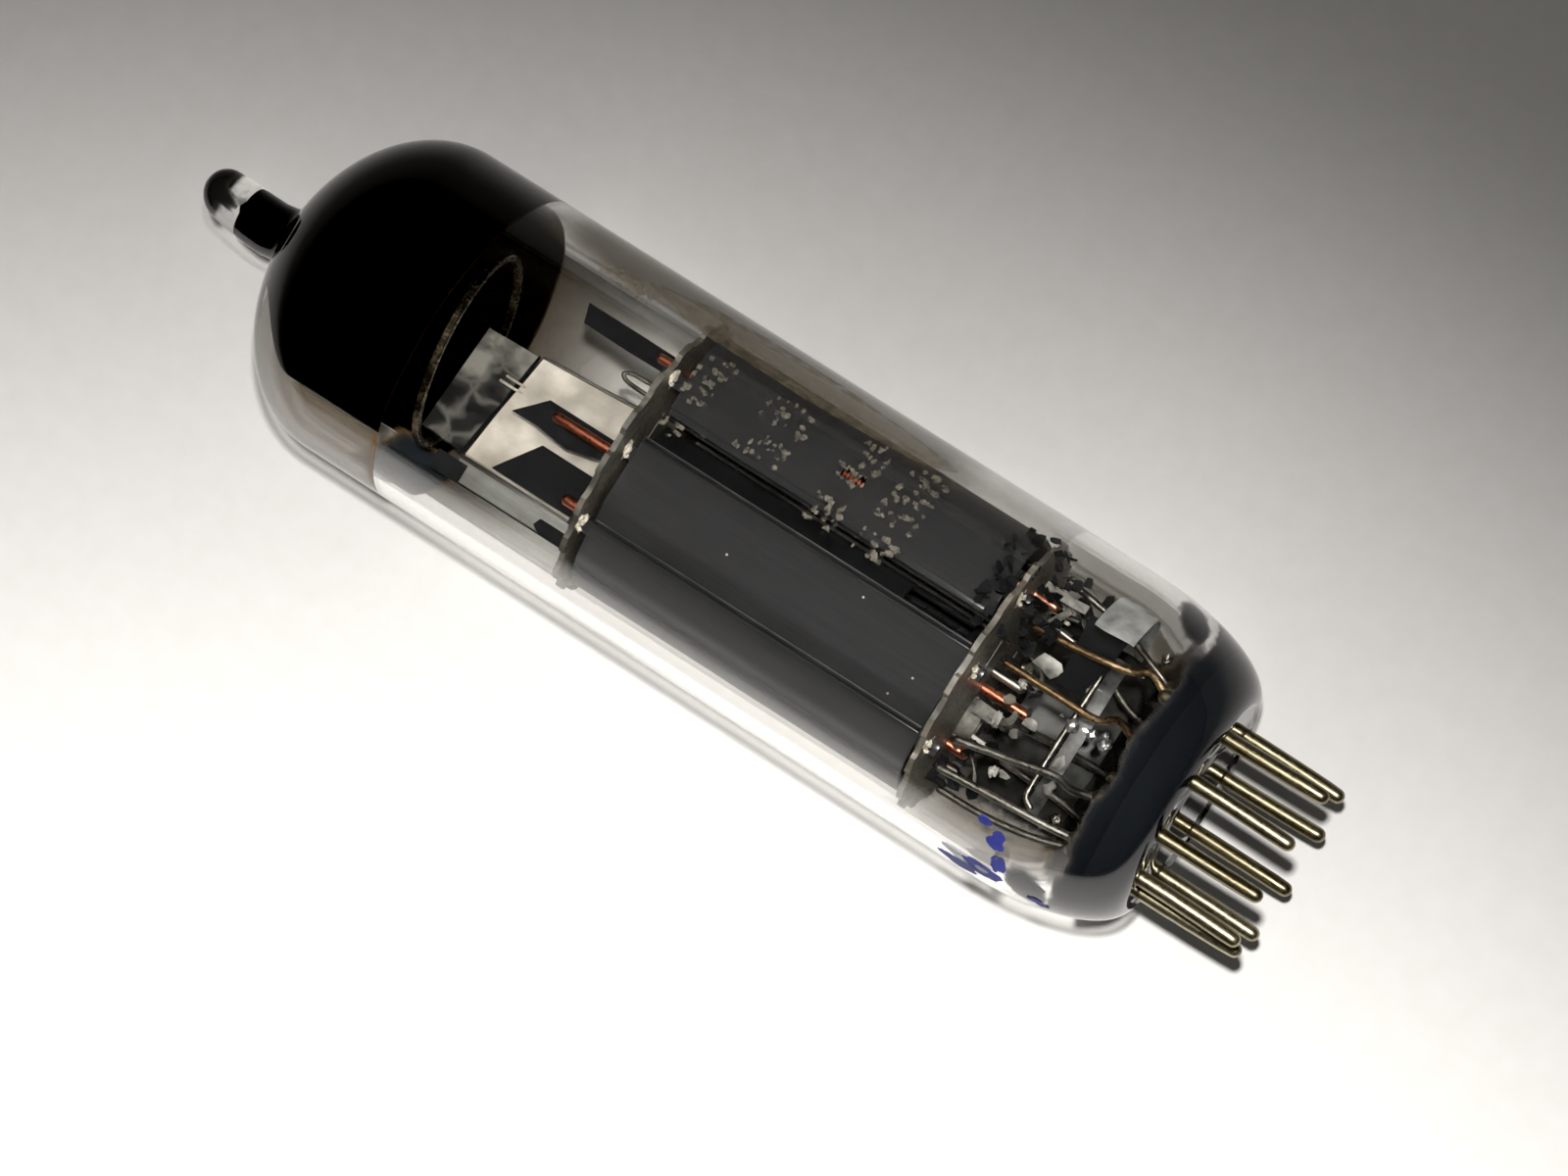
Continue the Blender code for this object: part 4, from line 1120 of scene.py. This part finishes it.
def make_grids():
    pentode = {
        "control": ("grid_1", 1.95, 0.35, 1.1, ((13.2, 41.8), (11.3, 45.0)), "copper", 0.42),
        "screen": ("grid_2", 3.1, 0.3, 2.0, ((13.0, 40.6), (12.4, 40.8)), "nickel", 0.6),
        "suppressor": ("grid_3", 4.15, 0.25, 3.3, ((13.3, 41.0), (13.3, 40.4)), "black", 1.1),
    }
    for name, (node, off, radius, depth, spans, finish, pitch) in pentode.items():
        places = zip(spans, (PENTODE_Y + off, PENTODE_Y - off))
        bm = mesh_of(sweep, *((rod_path(span, y, 0.0), radius, 14) for span, y in places))
        sweep(bm, helix(PENTODE_Y, off + 0.05, depth, 17.0, 36.5, pitch), 0.05, 5)
        piece(f"pentode_{name}_grid", bm, finish, (f"pentode_{node}",), smooth=60)
    places = (((12.9, 41.0), 2.3), ((13.2, 40.4), -2.3))
    bm = mesh_of(sweep, *((rod_path(span, TRIODE_Y, z), 0.3, 14) for span, z in places))
    sweep(bm, helix(TRIODE_Y, 1.6, 2.66, 17.0, 36.5, 0.27), 0.07, 6)
    piece("triode_control_grid", bm, "copper", ("triode_grid",), smooth=60)


def make_cathodes():
    for name, y, half_y, half_z in (("pentode", PENTODE_Y, 1.25, 0.6), ("triode", TRIODE_Y, 0.9, 0.9)):
        angles = [tau * i / 32 for i in range(32)]
        outline = [Vector((y + half_y * cos(angle), half_z * sin(angle))) for angle in angles]
        bm = mesh_of(sheet_tube, (outline, [13.3, 16.0, 38.0, 40.1], 0.12))
        bare = ("dull", lambda c: c.x < 16.5 or c.x > 37.5)
        piece(f"{name}_cathode_sleeve", bm, "cathode", (f"{name}_cathode",), second=bare)
    folds = [(12.1, -0.85)]
    for off in (-0.75, -0.25, 0.25, 0.75):
        run = [(x, off) for x in (15.5, 27.0, 38.6)]
        folds += run if off in (-0.75, 0.25) else reversed(run)
    folds.append((12.1, 0.85))
    legs = [(12.1, -0.35), (15.5, -0.3), (38.0, -0.3), (38.6, 0.0), (38.0, 0.3), (15.5, 0.3), (12.1, 0.35)]
    for name, middle, route in (("pentode", PENTODE_Y, folds), ("triode", TRIODE_Y, legs)):
        path = curve_through([(x, middle + off, 0.0) for x, off in route], 5)
        bm = mesh_of(sweep, (path, 0.14, 10))
        piece(f"{name}_heater_wire", bm, "heater", (f"{name}_heater",), smooth=60)


# ---------------------------------------------------------------- above the upper mica

FOOT = MICA_X["upper"] + MICA_THICKNESS / 2 + 0.3
SHIELD_NEAR = front(0.0, -5.7, -1.6)
SHIELD_FAR = front(0.0, 1.7, -5.4)
SHIELD_BEND_X = 49.0


def make_fins():
    low = FOOT + 0.75
    fins = {
        1: (-0.9, [(low, -5.45), (low, -2.65), (45.05, -2.65), (47.0, -5.45)]),
        2: (-0.9, [(low, -1.1), (low, -0.1), (46.15, -0.1), (47.85, -1.9), (46.0, -1.86), (43.8, -2.1),
                   (42.2, -1.75)]),
        3: (1.4, [(FOOT, 4.85), (FOOT, 6.0), (43.0, 6.05), (46.8, 6.05), (46.4, 4.85), (43.0, 4.8)]),
        4: (0.95, [(FOOT, -7.2), (FOOT, -6.4), (42.3, -6.4), (42.5, -6.9), (42.0, -7.2)]),
    }
    for number, (depth, outline) in fins.items():
        bm = mesh_of(plate, ([front(x, across, depth) for x, across in outline], 0.25))
        piece(f"fin_{number}", bm, "black", (f"cooling_fin_{number}",), bevel=0.035)


def make_shields():
    """The upright shield and, leaning above it, the plate that keeps getter vapour off the cage."""
    along = SHIELD_FAR - SHIELD_NEAR
    up = Vector((1.0, 0.0, 0.0))
    normal = along.cross(up).normalized()
    foot = FOOT + 0.9
    bend = SHIELD_BEND_X

    def upright(i, j, off):
        share = i / 16 * (1.08 - 0.008 * j)
        bow = 0.12 * sin(pi * share) + 0.05 * sin(9 * share + 0.4 * j)
        return SHIELD_NEAR + along * share + up * (foot + (bend - foot) * j / 10) + normal * (bow + off)

    bm = mesh_of(thin_sheet, (upright, 17, 11, (0.0, 0.25)))
    piece("upright_shield", bm, "graded", ("upper_shield",))
    ends = (SHIELD_NEAR + along * 1.1 + up * foot, SHIELD_NEAR + along * 1.02 + up * bend)
    bm = mesh_of(sweep, ([ends[0].lerp(ends[1], j / 10) + normal * 0.12 for j in range(11)], 0.14, 10))
    piece("shield_edge_wire", bm, "nickel", smooth=60)
    lean = Vector((1.0, -0.05, 0.1))
    base = SHIELD_NEAR + up * (bend + 0.3)

    def leaning(i, j, off):
        share, share_up = i / 14, j / 8
        dent = 0.10 * noise.noise(Vector((share * 5, share_up * 3, 7.0)))
        edge = base + along * share * (1 - 0.04 * share_up)
        return edge + lean * (2.9 + 0.6 * share) * share_up + normal * (dent + off)

    bm = mesh_of(thin_sheet, (leaning, 15, 9, (0.0, 0.22)))
    piece("leaning_shield", bm, "blotched", ("getter_shield",))
    bm = mesh_of(sweep, ([base + along * share + normal * 0.15 for share in (0.0, 0.5, 1.0)], 0.1, 8))
    piece("shield_fold", bm, "black")
    bm = bmesh.new()
    for share, tall in ((0.655, 0.9), (0.715, 0.75)):
        sweep(bm, [base + along * share + normal * 0.32 + up * tall * k for k in (-0.7, 0.1, 1.0)], 0.09, 8)
    piece("shield_welds", bm, "tab", smooth=60)


def make_getter_parts():
    corners = fronts((FOOT, -7.2, 0.55), (FOOT, -5.95, 0.55), (48.6, -5.95, 0.55), (48.6, -7.2, 0.55))
    plate_piece("support_strap", corners, 0.2, "strap", "getter_strap")
    head = fronts((47.9, -6.1, 0.8), (49.95, -7.3, 1.0))
    edge = fronts((FOOT + 0.1, -7.3, 0.8), (47.9, -7.2, 0.9))
    piece("strap_tab", mesh_of(box, head, edge), "black", bevel=0.03)
    half = [(FOOT, 0.35), (41.4, 0.33), (42.3, 0.25)]
    loop = [front(x, 3.55 - off, 1.6) for x, off in half] + [front(42.65, 3.55, 1.6)]
    loop += [front(x, 3.55 + off, 1.6) for x, off in reversed(half)]
    bm = mesh_of(sweep, (curve_through(loop, 4), 0.14, 10))
    piece("wire_loop", bm, "nickel", ("top_wire_loop",), smooth=60)
    tilt = Matrix.Translation((51.9, 0.23, 0.0)) @ Matrix.Rotation(radians(6), 4, "Z")
    section = [(0.22, 0.24), (0.22, 0.15), (-0.1, 0.11), (-0.1, -0.11), (0.22, -0.15), (0.22, -0.24),
               (-0.15, -0.22), (-0.2, -0.16), (-0.2, 0.16), (-0.15, 0.22)]
    angles = [tau * i / 96 for i in range(96)]
    loops = [[tilt @ polar(x, 6.2 + r, angle) for x, r in section] for angle in angles]
    bm = bmesh.new()
    skin(bm, loops, round_rows=True)
    piece("ring_channel", bm, "ring", ("getter_ring",))


# ---------------------------------------------------------------- below the lower mica


def curved_sheet(name, sweep_angles, x_range, finish, node):
    """A dented sheet bent round the axis; angles run from the triode side towards the front."""
    start, end = sweep_angles
    low, high = x_range

    def bent(i, j, off):
        x = low + (high - low) * j / 8
        angle = radians(start + (end - start) * i / 30)
        return polar(x, off + 0.1 * noise.noise(Vector((angle * 4, x * 0.6, 1.0))), pi - angle)

    piece(name, mesh_of(thin_sheet, (bent, 31, 9, (8.12, 8.32))), finish, (node,))


def make_lower_parts():
    curved_sheet("side_shield", (45, -45), (7.15, 9.85), "side", "lower_shield")
    curved_sheet("rear_shield", (-52, -138), (5.65, 13.15), "satin", "rear_shield")
    corners = fronts((8.5, 1.9, 0.4), (7.9, 6.3, 2.0), (10.9, 6.3, 2.0), (10.6, 1.9, 0.4))
    plate_piece("screen_sheet", corners, 0.2, "black", "heater_screen")
    route = ((7.45, -5.1, 3.1), (8.0, -4.75, 3.15), (8.12, -4.0, 3.1), (8.15, -1.0, 3.0), (8.1, 3.4, 2.9))
    bm = mesh_of(sweep, (curve_through(fronts(*route), 8), 0.2, 12))
    piece("cross_bar", bm, "nickel", ("cross_wire",), smooth=60)
    corners = fronts((12.1, -2.35, 1.3), (12.1, -1.5, 1.3), (13.9, -1.4, 1.3), (13.9, -2.3, 1.3))
    plate_piece("cathode_tab", corners, 0.18, "dull", "cathode_strap")
    route = fronts((10.95, 6.25, 3.7), (12.2, 6.15, 3.9), (13.8, 6.2, 4.1))
    bm = mesh_of(ribbon, (curve_through(route, 5), front(0, 0.55, 0), 0.16))
    piece("anode_ribbon", bm, "dull", ("anode_strap",), bevel=0.02)


LINKS = {
    "heater_link": ((12.6, -2.3, 1.0), (12.1, -1.9, 1.5), (11.6, -1.5, 1.8), (11.5, -0.9, 2.0)),
    "grid_link": ((11.4, -5.7, 2.2), (11.7, -5.1, 2.4), (12.3, -4.5, 2.6)),
    "screen_link": ((12.9, 4.2, 2.2), (12.4, 5.0, 2.4), (11.9, 5.8, 2.8)),
    "cathode_link": ((11.2, 1.0, 1.6), (11.6, 1.8, 1.4), (12.6, 2.2, 1.2)),
    "triode_link": ((13.4, 7.6, 0.9), (12.0, 7.7, 1.0), (11.3, 7.4, 1.1)),
}


def flake(bm, centre, size):
    """A small torn scrap of sheet, turned at random."""
    turn = Matrix.Rotation(DICE.uniform(0, tau), 3, "X")
    turn = turn @ Matrix.Rotation(DICE.uniform(-0.9, 0.9), 3, "Y")
    count = DICE.randint(5, 7)
    rim = [polar(0, size * DICE.uniform(0.45, 1.0), tau * i / count).yzx for i in range(count)]
    skin(bm, [[centre + turn @ (point + Vector((0, 0, off))) for point in rim] for off in (0.0, 0.08)])


LOOSE_SCRAPS = (  # name, finish, slot, how many, range across, range of x, size
    ("dark_scraps_pentode", "black", "black_sheet", 16, (-6.6, -2.6), (11.6, 13.9), 0.6),
    ("dark_scraps_middle", "satin", "black_sheet", 12, (-2.6, 1.4), (10.4, 13.2), 0.5),
    ("dark_scraps_triode", "black", "black_sheet", 22, (1.6, 7.6), (10.6, 13.9), 0.75),
    ("mica_scraps", "mica", "mica", 12, (-6.0, 7.5), (11.0, 14.0), 0.5),
)
TORN_SHEETS = (  # x, across, depth, half its length, half its width, seed of its outline
    (11.3, 2.45, 2.4, 0.95, 0.6, 1.0),
    (10.3, -1.05, 2.3, 0.45, 0.35, 2.0),
    (10.2, -4.4, 2.0, 0.35, 0.25, 3.0),
    (7.2, -3.7, 1.6, 0.5, 0.4, 4.0),
    (7.5, -2.1, 1.4, 0.3, 0.5, 5.0),
    (12.2, -1.75, 2.8, 0.2, 0.6, 6.0),
    (8.3, 2.6, 0.8, 0.7, 0.25, 7.0),
    (9.3, 4.3, 1.0, 0.25, 0.6, 8.0),
)
BURNT_PATCHES = (  # corners as (x, across)
    ((16.7, 4.2), (15.5, 4.3), (15.1, 5.0), (15.3, 5.6), (16.2, 5.4), (16.9, 5.5), (16.3, 4.9)),
    ((16.9, 6.5), (16.1, 6.6), (16.0, 7.2), (16.6, 7.4), (17.2, 7.1), (16.7, 6.9)),
    ((15.8, 2.9), (15.1, 3.0), (15.2, 3.9), (15.7, 3.7)),
)
# Beads as (x, across, depth, size); a bead's radii are its size times three factors.
CERAMIC_BEADS = ((12.0, 0.75, 2.6, 0.26), (10.9, -4.6, 1.6, 0.3))
# welds on the wires, set where the flash glints on the glass shoulder: their polish gives painted glints
GLINT_WELD_BEADS = ((7.95, 0.2, 3.1, 0.42), (6.75, 0.35, 1.4, 0.36), (5.6, 0.2, 1.5, 0.44), (5.9, 0.7, 1.4, 0.24))
KNOTS = ((6.2, -5.45, 2.4), (6.0, 4.8, 2.7), (9.6, 6.9, 1.6), (5.4, 6.4, -0.6), (5.9, -4.9, -1.0))
FLAKES_ON_MICA = 44
FLAKES_UNDER_MICA = 24
DUST = ((22.1, -0.05, 6.75), (17.1, -2.45, 6.47), (17.9, -3.95, 6.3), (30.4, -2.2, 6.47))


def make_scraps():
    """Straps, welds and torn scraps that crowd the space under the lower mica."""
    for name, route in LINKS.items():
        bm = mesh_of(ribbon, (curve_through(fronts(*route), 5), front(0.35, 0.25, 0.1), 0.1))
        piece(name, bm, "dull", bevel=0.015)
    for name, finish, slot, count, across, x_range, size in LOOSE_SCRAPS:
        bm = bmesh.new()
        for _ in range(count):
            where = front(DICE.uniform(*x_range), DICE.uniform(*across), DICE.uniform(-1.5, 2.6))
            flake(bm, where, size * DICE.uniform(0.6, 1.2))
        piece(name, bm, finish)
    bm = bmesh.new()
    for x, across, depth, size in CERAMIC_BEADS:
        bead(bm, front(x, across, depth), (size, size * 1.1, size * 0.7), x + across, 0.8)
    piece("ceramic_beads", bm, "pale", smooth=60)
    bm = bmesh.new()
    for x, across, depth, half_x, half_across, seed in TORN_SHEETS:
        edge = blob_outline(across, x, half_across, half_x, seed, 9, 1.0)
        skin(bm, [[front(px, a, depth + 0.25 * (a - across) + off) for a, px in edge] for off in (0.0, 0.08)])
    piece("torn_grey_sheets", bm, "grey", bevel=0.015)
    # weld beads whose polish gives painted glints of the flash on the glass shoulder
    bm = bmesh.new()
    for x, across, depth, size in GLINT_WELD_BEADS:
        bead(bm, front(x, across, depth), (size, size * 0.9, size * 0.8), x, 0.5)
    piece("weld_beads_painted_glint", bm, "glint_metal", smooth=60)
    band = fronts((7.7, -5.9, -0.8), (7.55, -3.2, 0.5), (7.5, 0.4, 1.1), (7.6, 3.0, 0.8), (7.7, 5.0, -0.2))
    bm = mesh_of(ribbon, (curve_through(band, 8), front(1.05, 0, 0), 0.12))
    piece("silver_band", bm, "band", bevel=0.03)
    bm = mesh_of(bead, *((front(*where), (0.4, 0.32, 0.3), where[1], 0.9) for where in KNOTS))
    piece("weld_knots", bm, "nickel", smooth=60)
    bm = bmesh.new()
    for outline in BURNT_PATCHES:
        depth = 6.33 - 0.14 * max(0.0, outline[0][1] - 3.15)
        skin(bm, [[front(x, across, depth + off) for x, across in outline] for off in (0.0, 0.08)])
    for _ in range(FLAKES_ON_MICA):
        across = DICE.uniform(2.2, 8.9)
        depth = 6.6 - 0.3 * max(0.0, across - 4) + DICE.uniform(0.0, 0.5)
        flake(bm, front(DICE.uniform(13.0, 16.6), across, depth), DICE.uniform(0.3, 0.7))
    for _ in range(FLAKES_UNDER_MICA):
        where = front(DICE.uniform(11.8, 14.0), DICE.uniform(2.3, 7.7), DICE.uniform(3.0, 4.6))
        flake(bm, where, DICE.uniform(0.35, 0.7))
    piece("burnt_tabs", bm, "black")
    bm = mesh_of(bead, *((front(*where), (0.07, 0.07, 0.05)) for where in DUST))
    piece("dust_specks", bm, "tab", smooth=60)


# ---------------------------------------------------------------- marks on the glass


def glass_radius(x):
    """The glass's outer radius between the base and the dome."""
    return OUTER_RADIUS if x > 9.2 else 7.0 + 3.46 * sqrt(1 - ((9.2 - x) / 9.2) ** 2)


def surface_mark(bm, outline, lift=0.012):
    """A thin closed patch on the outside of the glass from (across, x) points."""
    walls = []
    for off in (lift, lift + 0.012):
        walls.append([front(x, a, sqrt((glass_radius(x) + off) ** 2 - a**2)) for a, x in outline])
    skin(bm, walls)


def blob_outline(across, x, half_across, half_x, seed, count=18, rough=0.5):
    made = []
    for i in range(count):
        angle = tau * i / count
        push = 1 + rough * noise.noise(Vector((cos(angle) * 1.5, sin(angle) * 1.5, seed)))
        made.append((across + half_across * push * cos(angle), x + half_x * push * sin(angle)))
    return made


SPECKS = 7  # at each place of the worn print
PRINT_ROWS = (  # x, half the row's height, places across
    (44.4, 2.1, (8.7, 9.15)),
    (36.5, 1.0, (3.2, 3.7, 5.4, 6.0, 6.7, 7.3, 8.0)),
    (31.4, 1.6, (4.6, 5.2, 5.7, 6.8, 7.4, 8.0)),
    (26.1, 1.1, (3.2, 3.7, 4.2, 4.7, 6.2, 6.7, 7.2, 8.0, 8.5)),
    (22.5, 1.25, (3.4, 3.9, 4.4, 5.6, 6.1, 6.9, 7.4, 8.2, 8.7)),
)


def make_marks():
    """Rows of specks, as of print that has worn away, and smears of blue marker. None is a letter."""
    bm = bmesh.new()
    for x, half, places in PRINT_ROWS:
        for number, across in enumerate(places):
            for speck in range(SPECKS):
                where = (across + DICE.uniform(-0.2, 0.2), x + DICE.uniform(-half, half))
                reach = DICE.uniform(0.09, 0.22)
                outline = blob_outline(*where, reach, reach * DICE.uniform(0.6, 1.3), where[1], 12, 0.8)
                surface_mark(bm, outline, 0.03 + 0.003 * (speck + SPECKS * (number % 2)))
    piece("worn_print_specks", bm, "print", caged=False)
    bm = bmesh.new()
    surface_mark(bm, blob_outline(9.45, 33.0, 0.8, 10.2, 3.0, 48, 0.2))
    surface_mark(bm, blob_outline(8.9, 44.6, 0.5, 1.4, 8.0, 18, 0.6))
    piece("worn_print_patch", bm, "faded", caged=False)
    bm = bmesh.new()
    for number, (across, x, wide, tall) in enumerate(
        ((-9.78, 9.6, 0.3, 1.2), (-9.3, 8.2, 0.42, 1.2), (-8.3, 7.2, 0.62, 0.45), (-7.1, 7.7, 0.55, 0.6),
         (-6.3, 8.9, 0.26, 0.45), (-9.3, 4.4, 0.16, 0.55))
    ):
        surface_mark(bm, blob_outline(across, x, wide, tall, number * 3.0), 0.012 + 0.004 * number)
    piece("blue_ink_dabs", bm, "ink", caged=False)


# ---------------------------------------------------------------- stage


def make_stage():
    bm = bmesh.new()
    bmesh.ops.create_grid(bm, x_segments=1, y_segments=1, size=FLOOR_SIZE)
    mesh = bpy.data.meshes.new("table_top")
    bm.to_mesh(mesh)
    bm.free()
    mesh.materials.append(FINISH["floor"])
    place_new("table_top", mesh, Matrix.Translation((0, 0, FLOOR_Z * MM)))


def look(location, target, roll_up):
    """The matrix of something at a place that faces a target."""
    back = (location - target).normalized()
    right = roll_up.cross(back).normalized()
    rows = Matrix((right, back.cross(right), back)).transposed()
    return Matrix.Translation(location) @ rows.to_4x4()


def place_new(name, data, matrix):
    made = bpy.data.objects.new(name, data)
    made.matrix_world = matrix
    bpy.context.scene.collection.objects.link(made)
    return made


# The camera was fitted to the pins, the bulb's outline and the tip. Places are in metres.
LENS_MM = 151.28
CAMERA_PLACE = Vector((-0.04865, -0.04204, 0.38329))
CAMERA_AXES = (
    (-0.827439, 0.52683, -0.194408),
    (-0.514785, -0.84994, -0.112243),
    (-0.224368, 0.007205, 0.974478),
)

# The flash is a small hard lamp above the lens, with a weak wide one for its spill.
FLASH_ABOVE_LENS = 0.032
FLASH_RADIUS = 0.007
FLASH_COLOUR = (1.0, 0.988, 0.965)
FLASH_TARGET = Vector((-0.001, 0.1503, FLOOR_Z * MM))
ROOM_COLOUR = (1.0, 0.96, 0.9, 1.0)
ROOM_STRENGTH = {"To Min": 0.08, "To Max": 0.045}  # its light on matt things, and in reflections
BLACK_LEVEL = 0.0045  # a small camera's deepest shadows are pure black


def make_camera_and_lights():
    scene = bpy.context.scene
    data = bpy.data.cameras.new("camera")
    data.lens = LENS_MM
    data.sensor_width = 36.0
    data.clip_start = 0.01
    axes = Matrix(CAMERA_AXES)
    scene.camera = place_new("camera", data, Matrix.Translation(CAMERA_PLACE) @ axes.to_4x4())
    up = axes.col[1]
    flash = CAMERA_PLACE + up * FLASH_ABOVE_LENS
    below = Vector((flash.x, flash.y, FLOOR_Z * MM))
    for name, watts, cone, target in (
        ("key_lamp", 14.13, 52.4, FLASH_TARGET),
        ("spill_lamp", 0.41, 150.0, below),
    ):
        lamp = bpy.data.lights.new(name, "SPOT")
        lamp.energy = watts
        lamp.shadow_soft_size = FLASH_RADIUS
        lamp.spot_size = radians(cone)
        lamp.spot_blend = 1.0
        lamp.color = FLASH_COLOUR
        place_new(name, lamp, look(flash, target, up))
    scene.world = bpy.data.worlds.new("dim_room")
    scene.world.use_nodes = True
    nodes, links = scene.world.node_tree.nodes, scene.world.node_tree.links
    nodes["Background"].inputs[0].default_value = ROOM_COLOUR
    strength = nodes.new("ShaderNodeMapRange")
    for socket, value in ROOM_STRENGTH.items():
        strength.inputs[socket].default_value = value
    links.new(nodes.new("ShaderNodeLightPath").outputs["Is Glossy Ray"], strength.inputs["Value"])
    links.new(strength.outputs[0], nodes["Background"].inputs[1])
    scene.view_settings.view_transform = "Standard"
    scene.view_settings.use_curve_mapping = True
    scene.view_settings.curve_mapping.black_level = (BLACK_LEVEL,) * 3
    scene.view_settings.curve_mapping.update()
    scene.cycles.max_bounces = 24
    scene.cycles.transmission_bounces = 20
    scene.cycles.transparent_max_bounces = 32
    scene.cycles.glossy_bounces = 8
    scene.cycles.diffuse_bounces = 5
    scene.cycles.caustics_reflective = False
    scene.cycles.sample_clamp_indirect = 4.0


make_glass()
make_films()
make_stem_film()
make_pins_and_leads()
make_micas()
make_pentode_anode()
make_triode_anode()
make_ear_tips()
make_grids()
make_cathodes()
make_fins()
make_shields()
make_getter_parts()
make_lower_parts()
make_scraps()
make_marks()
make_stage()
make_camera_and_lights()
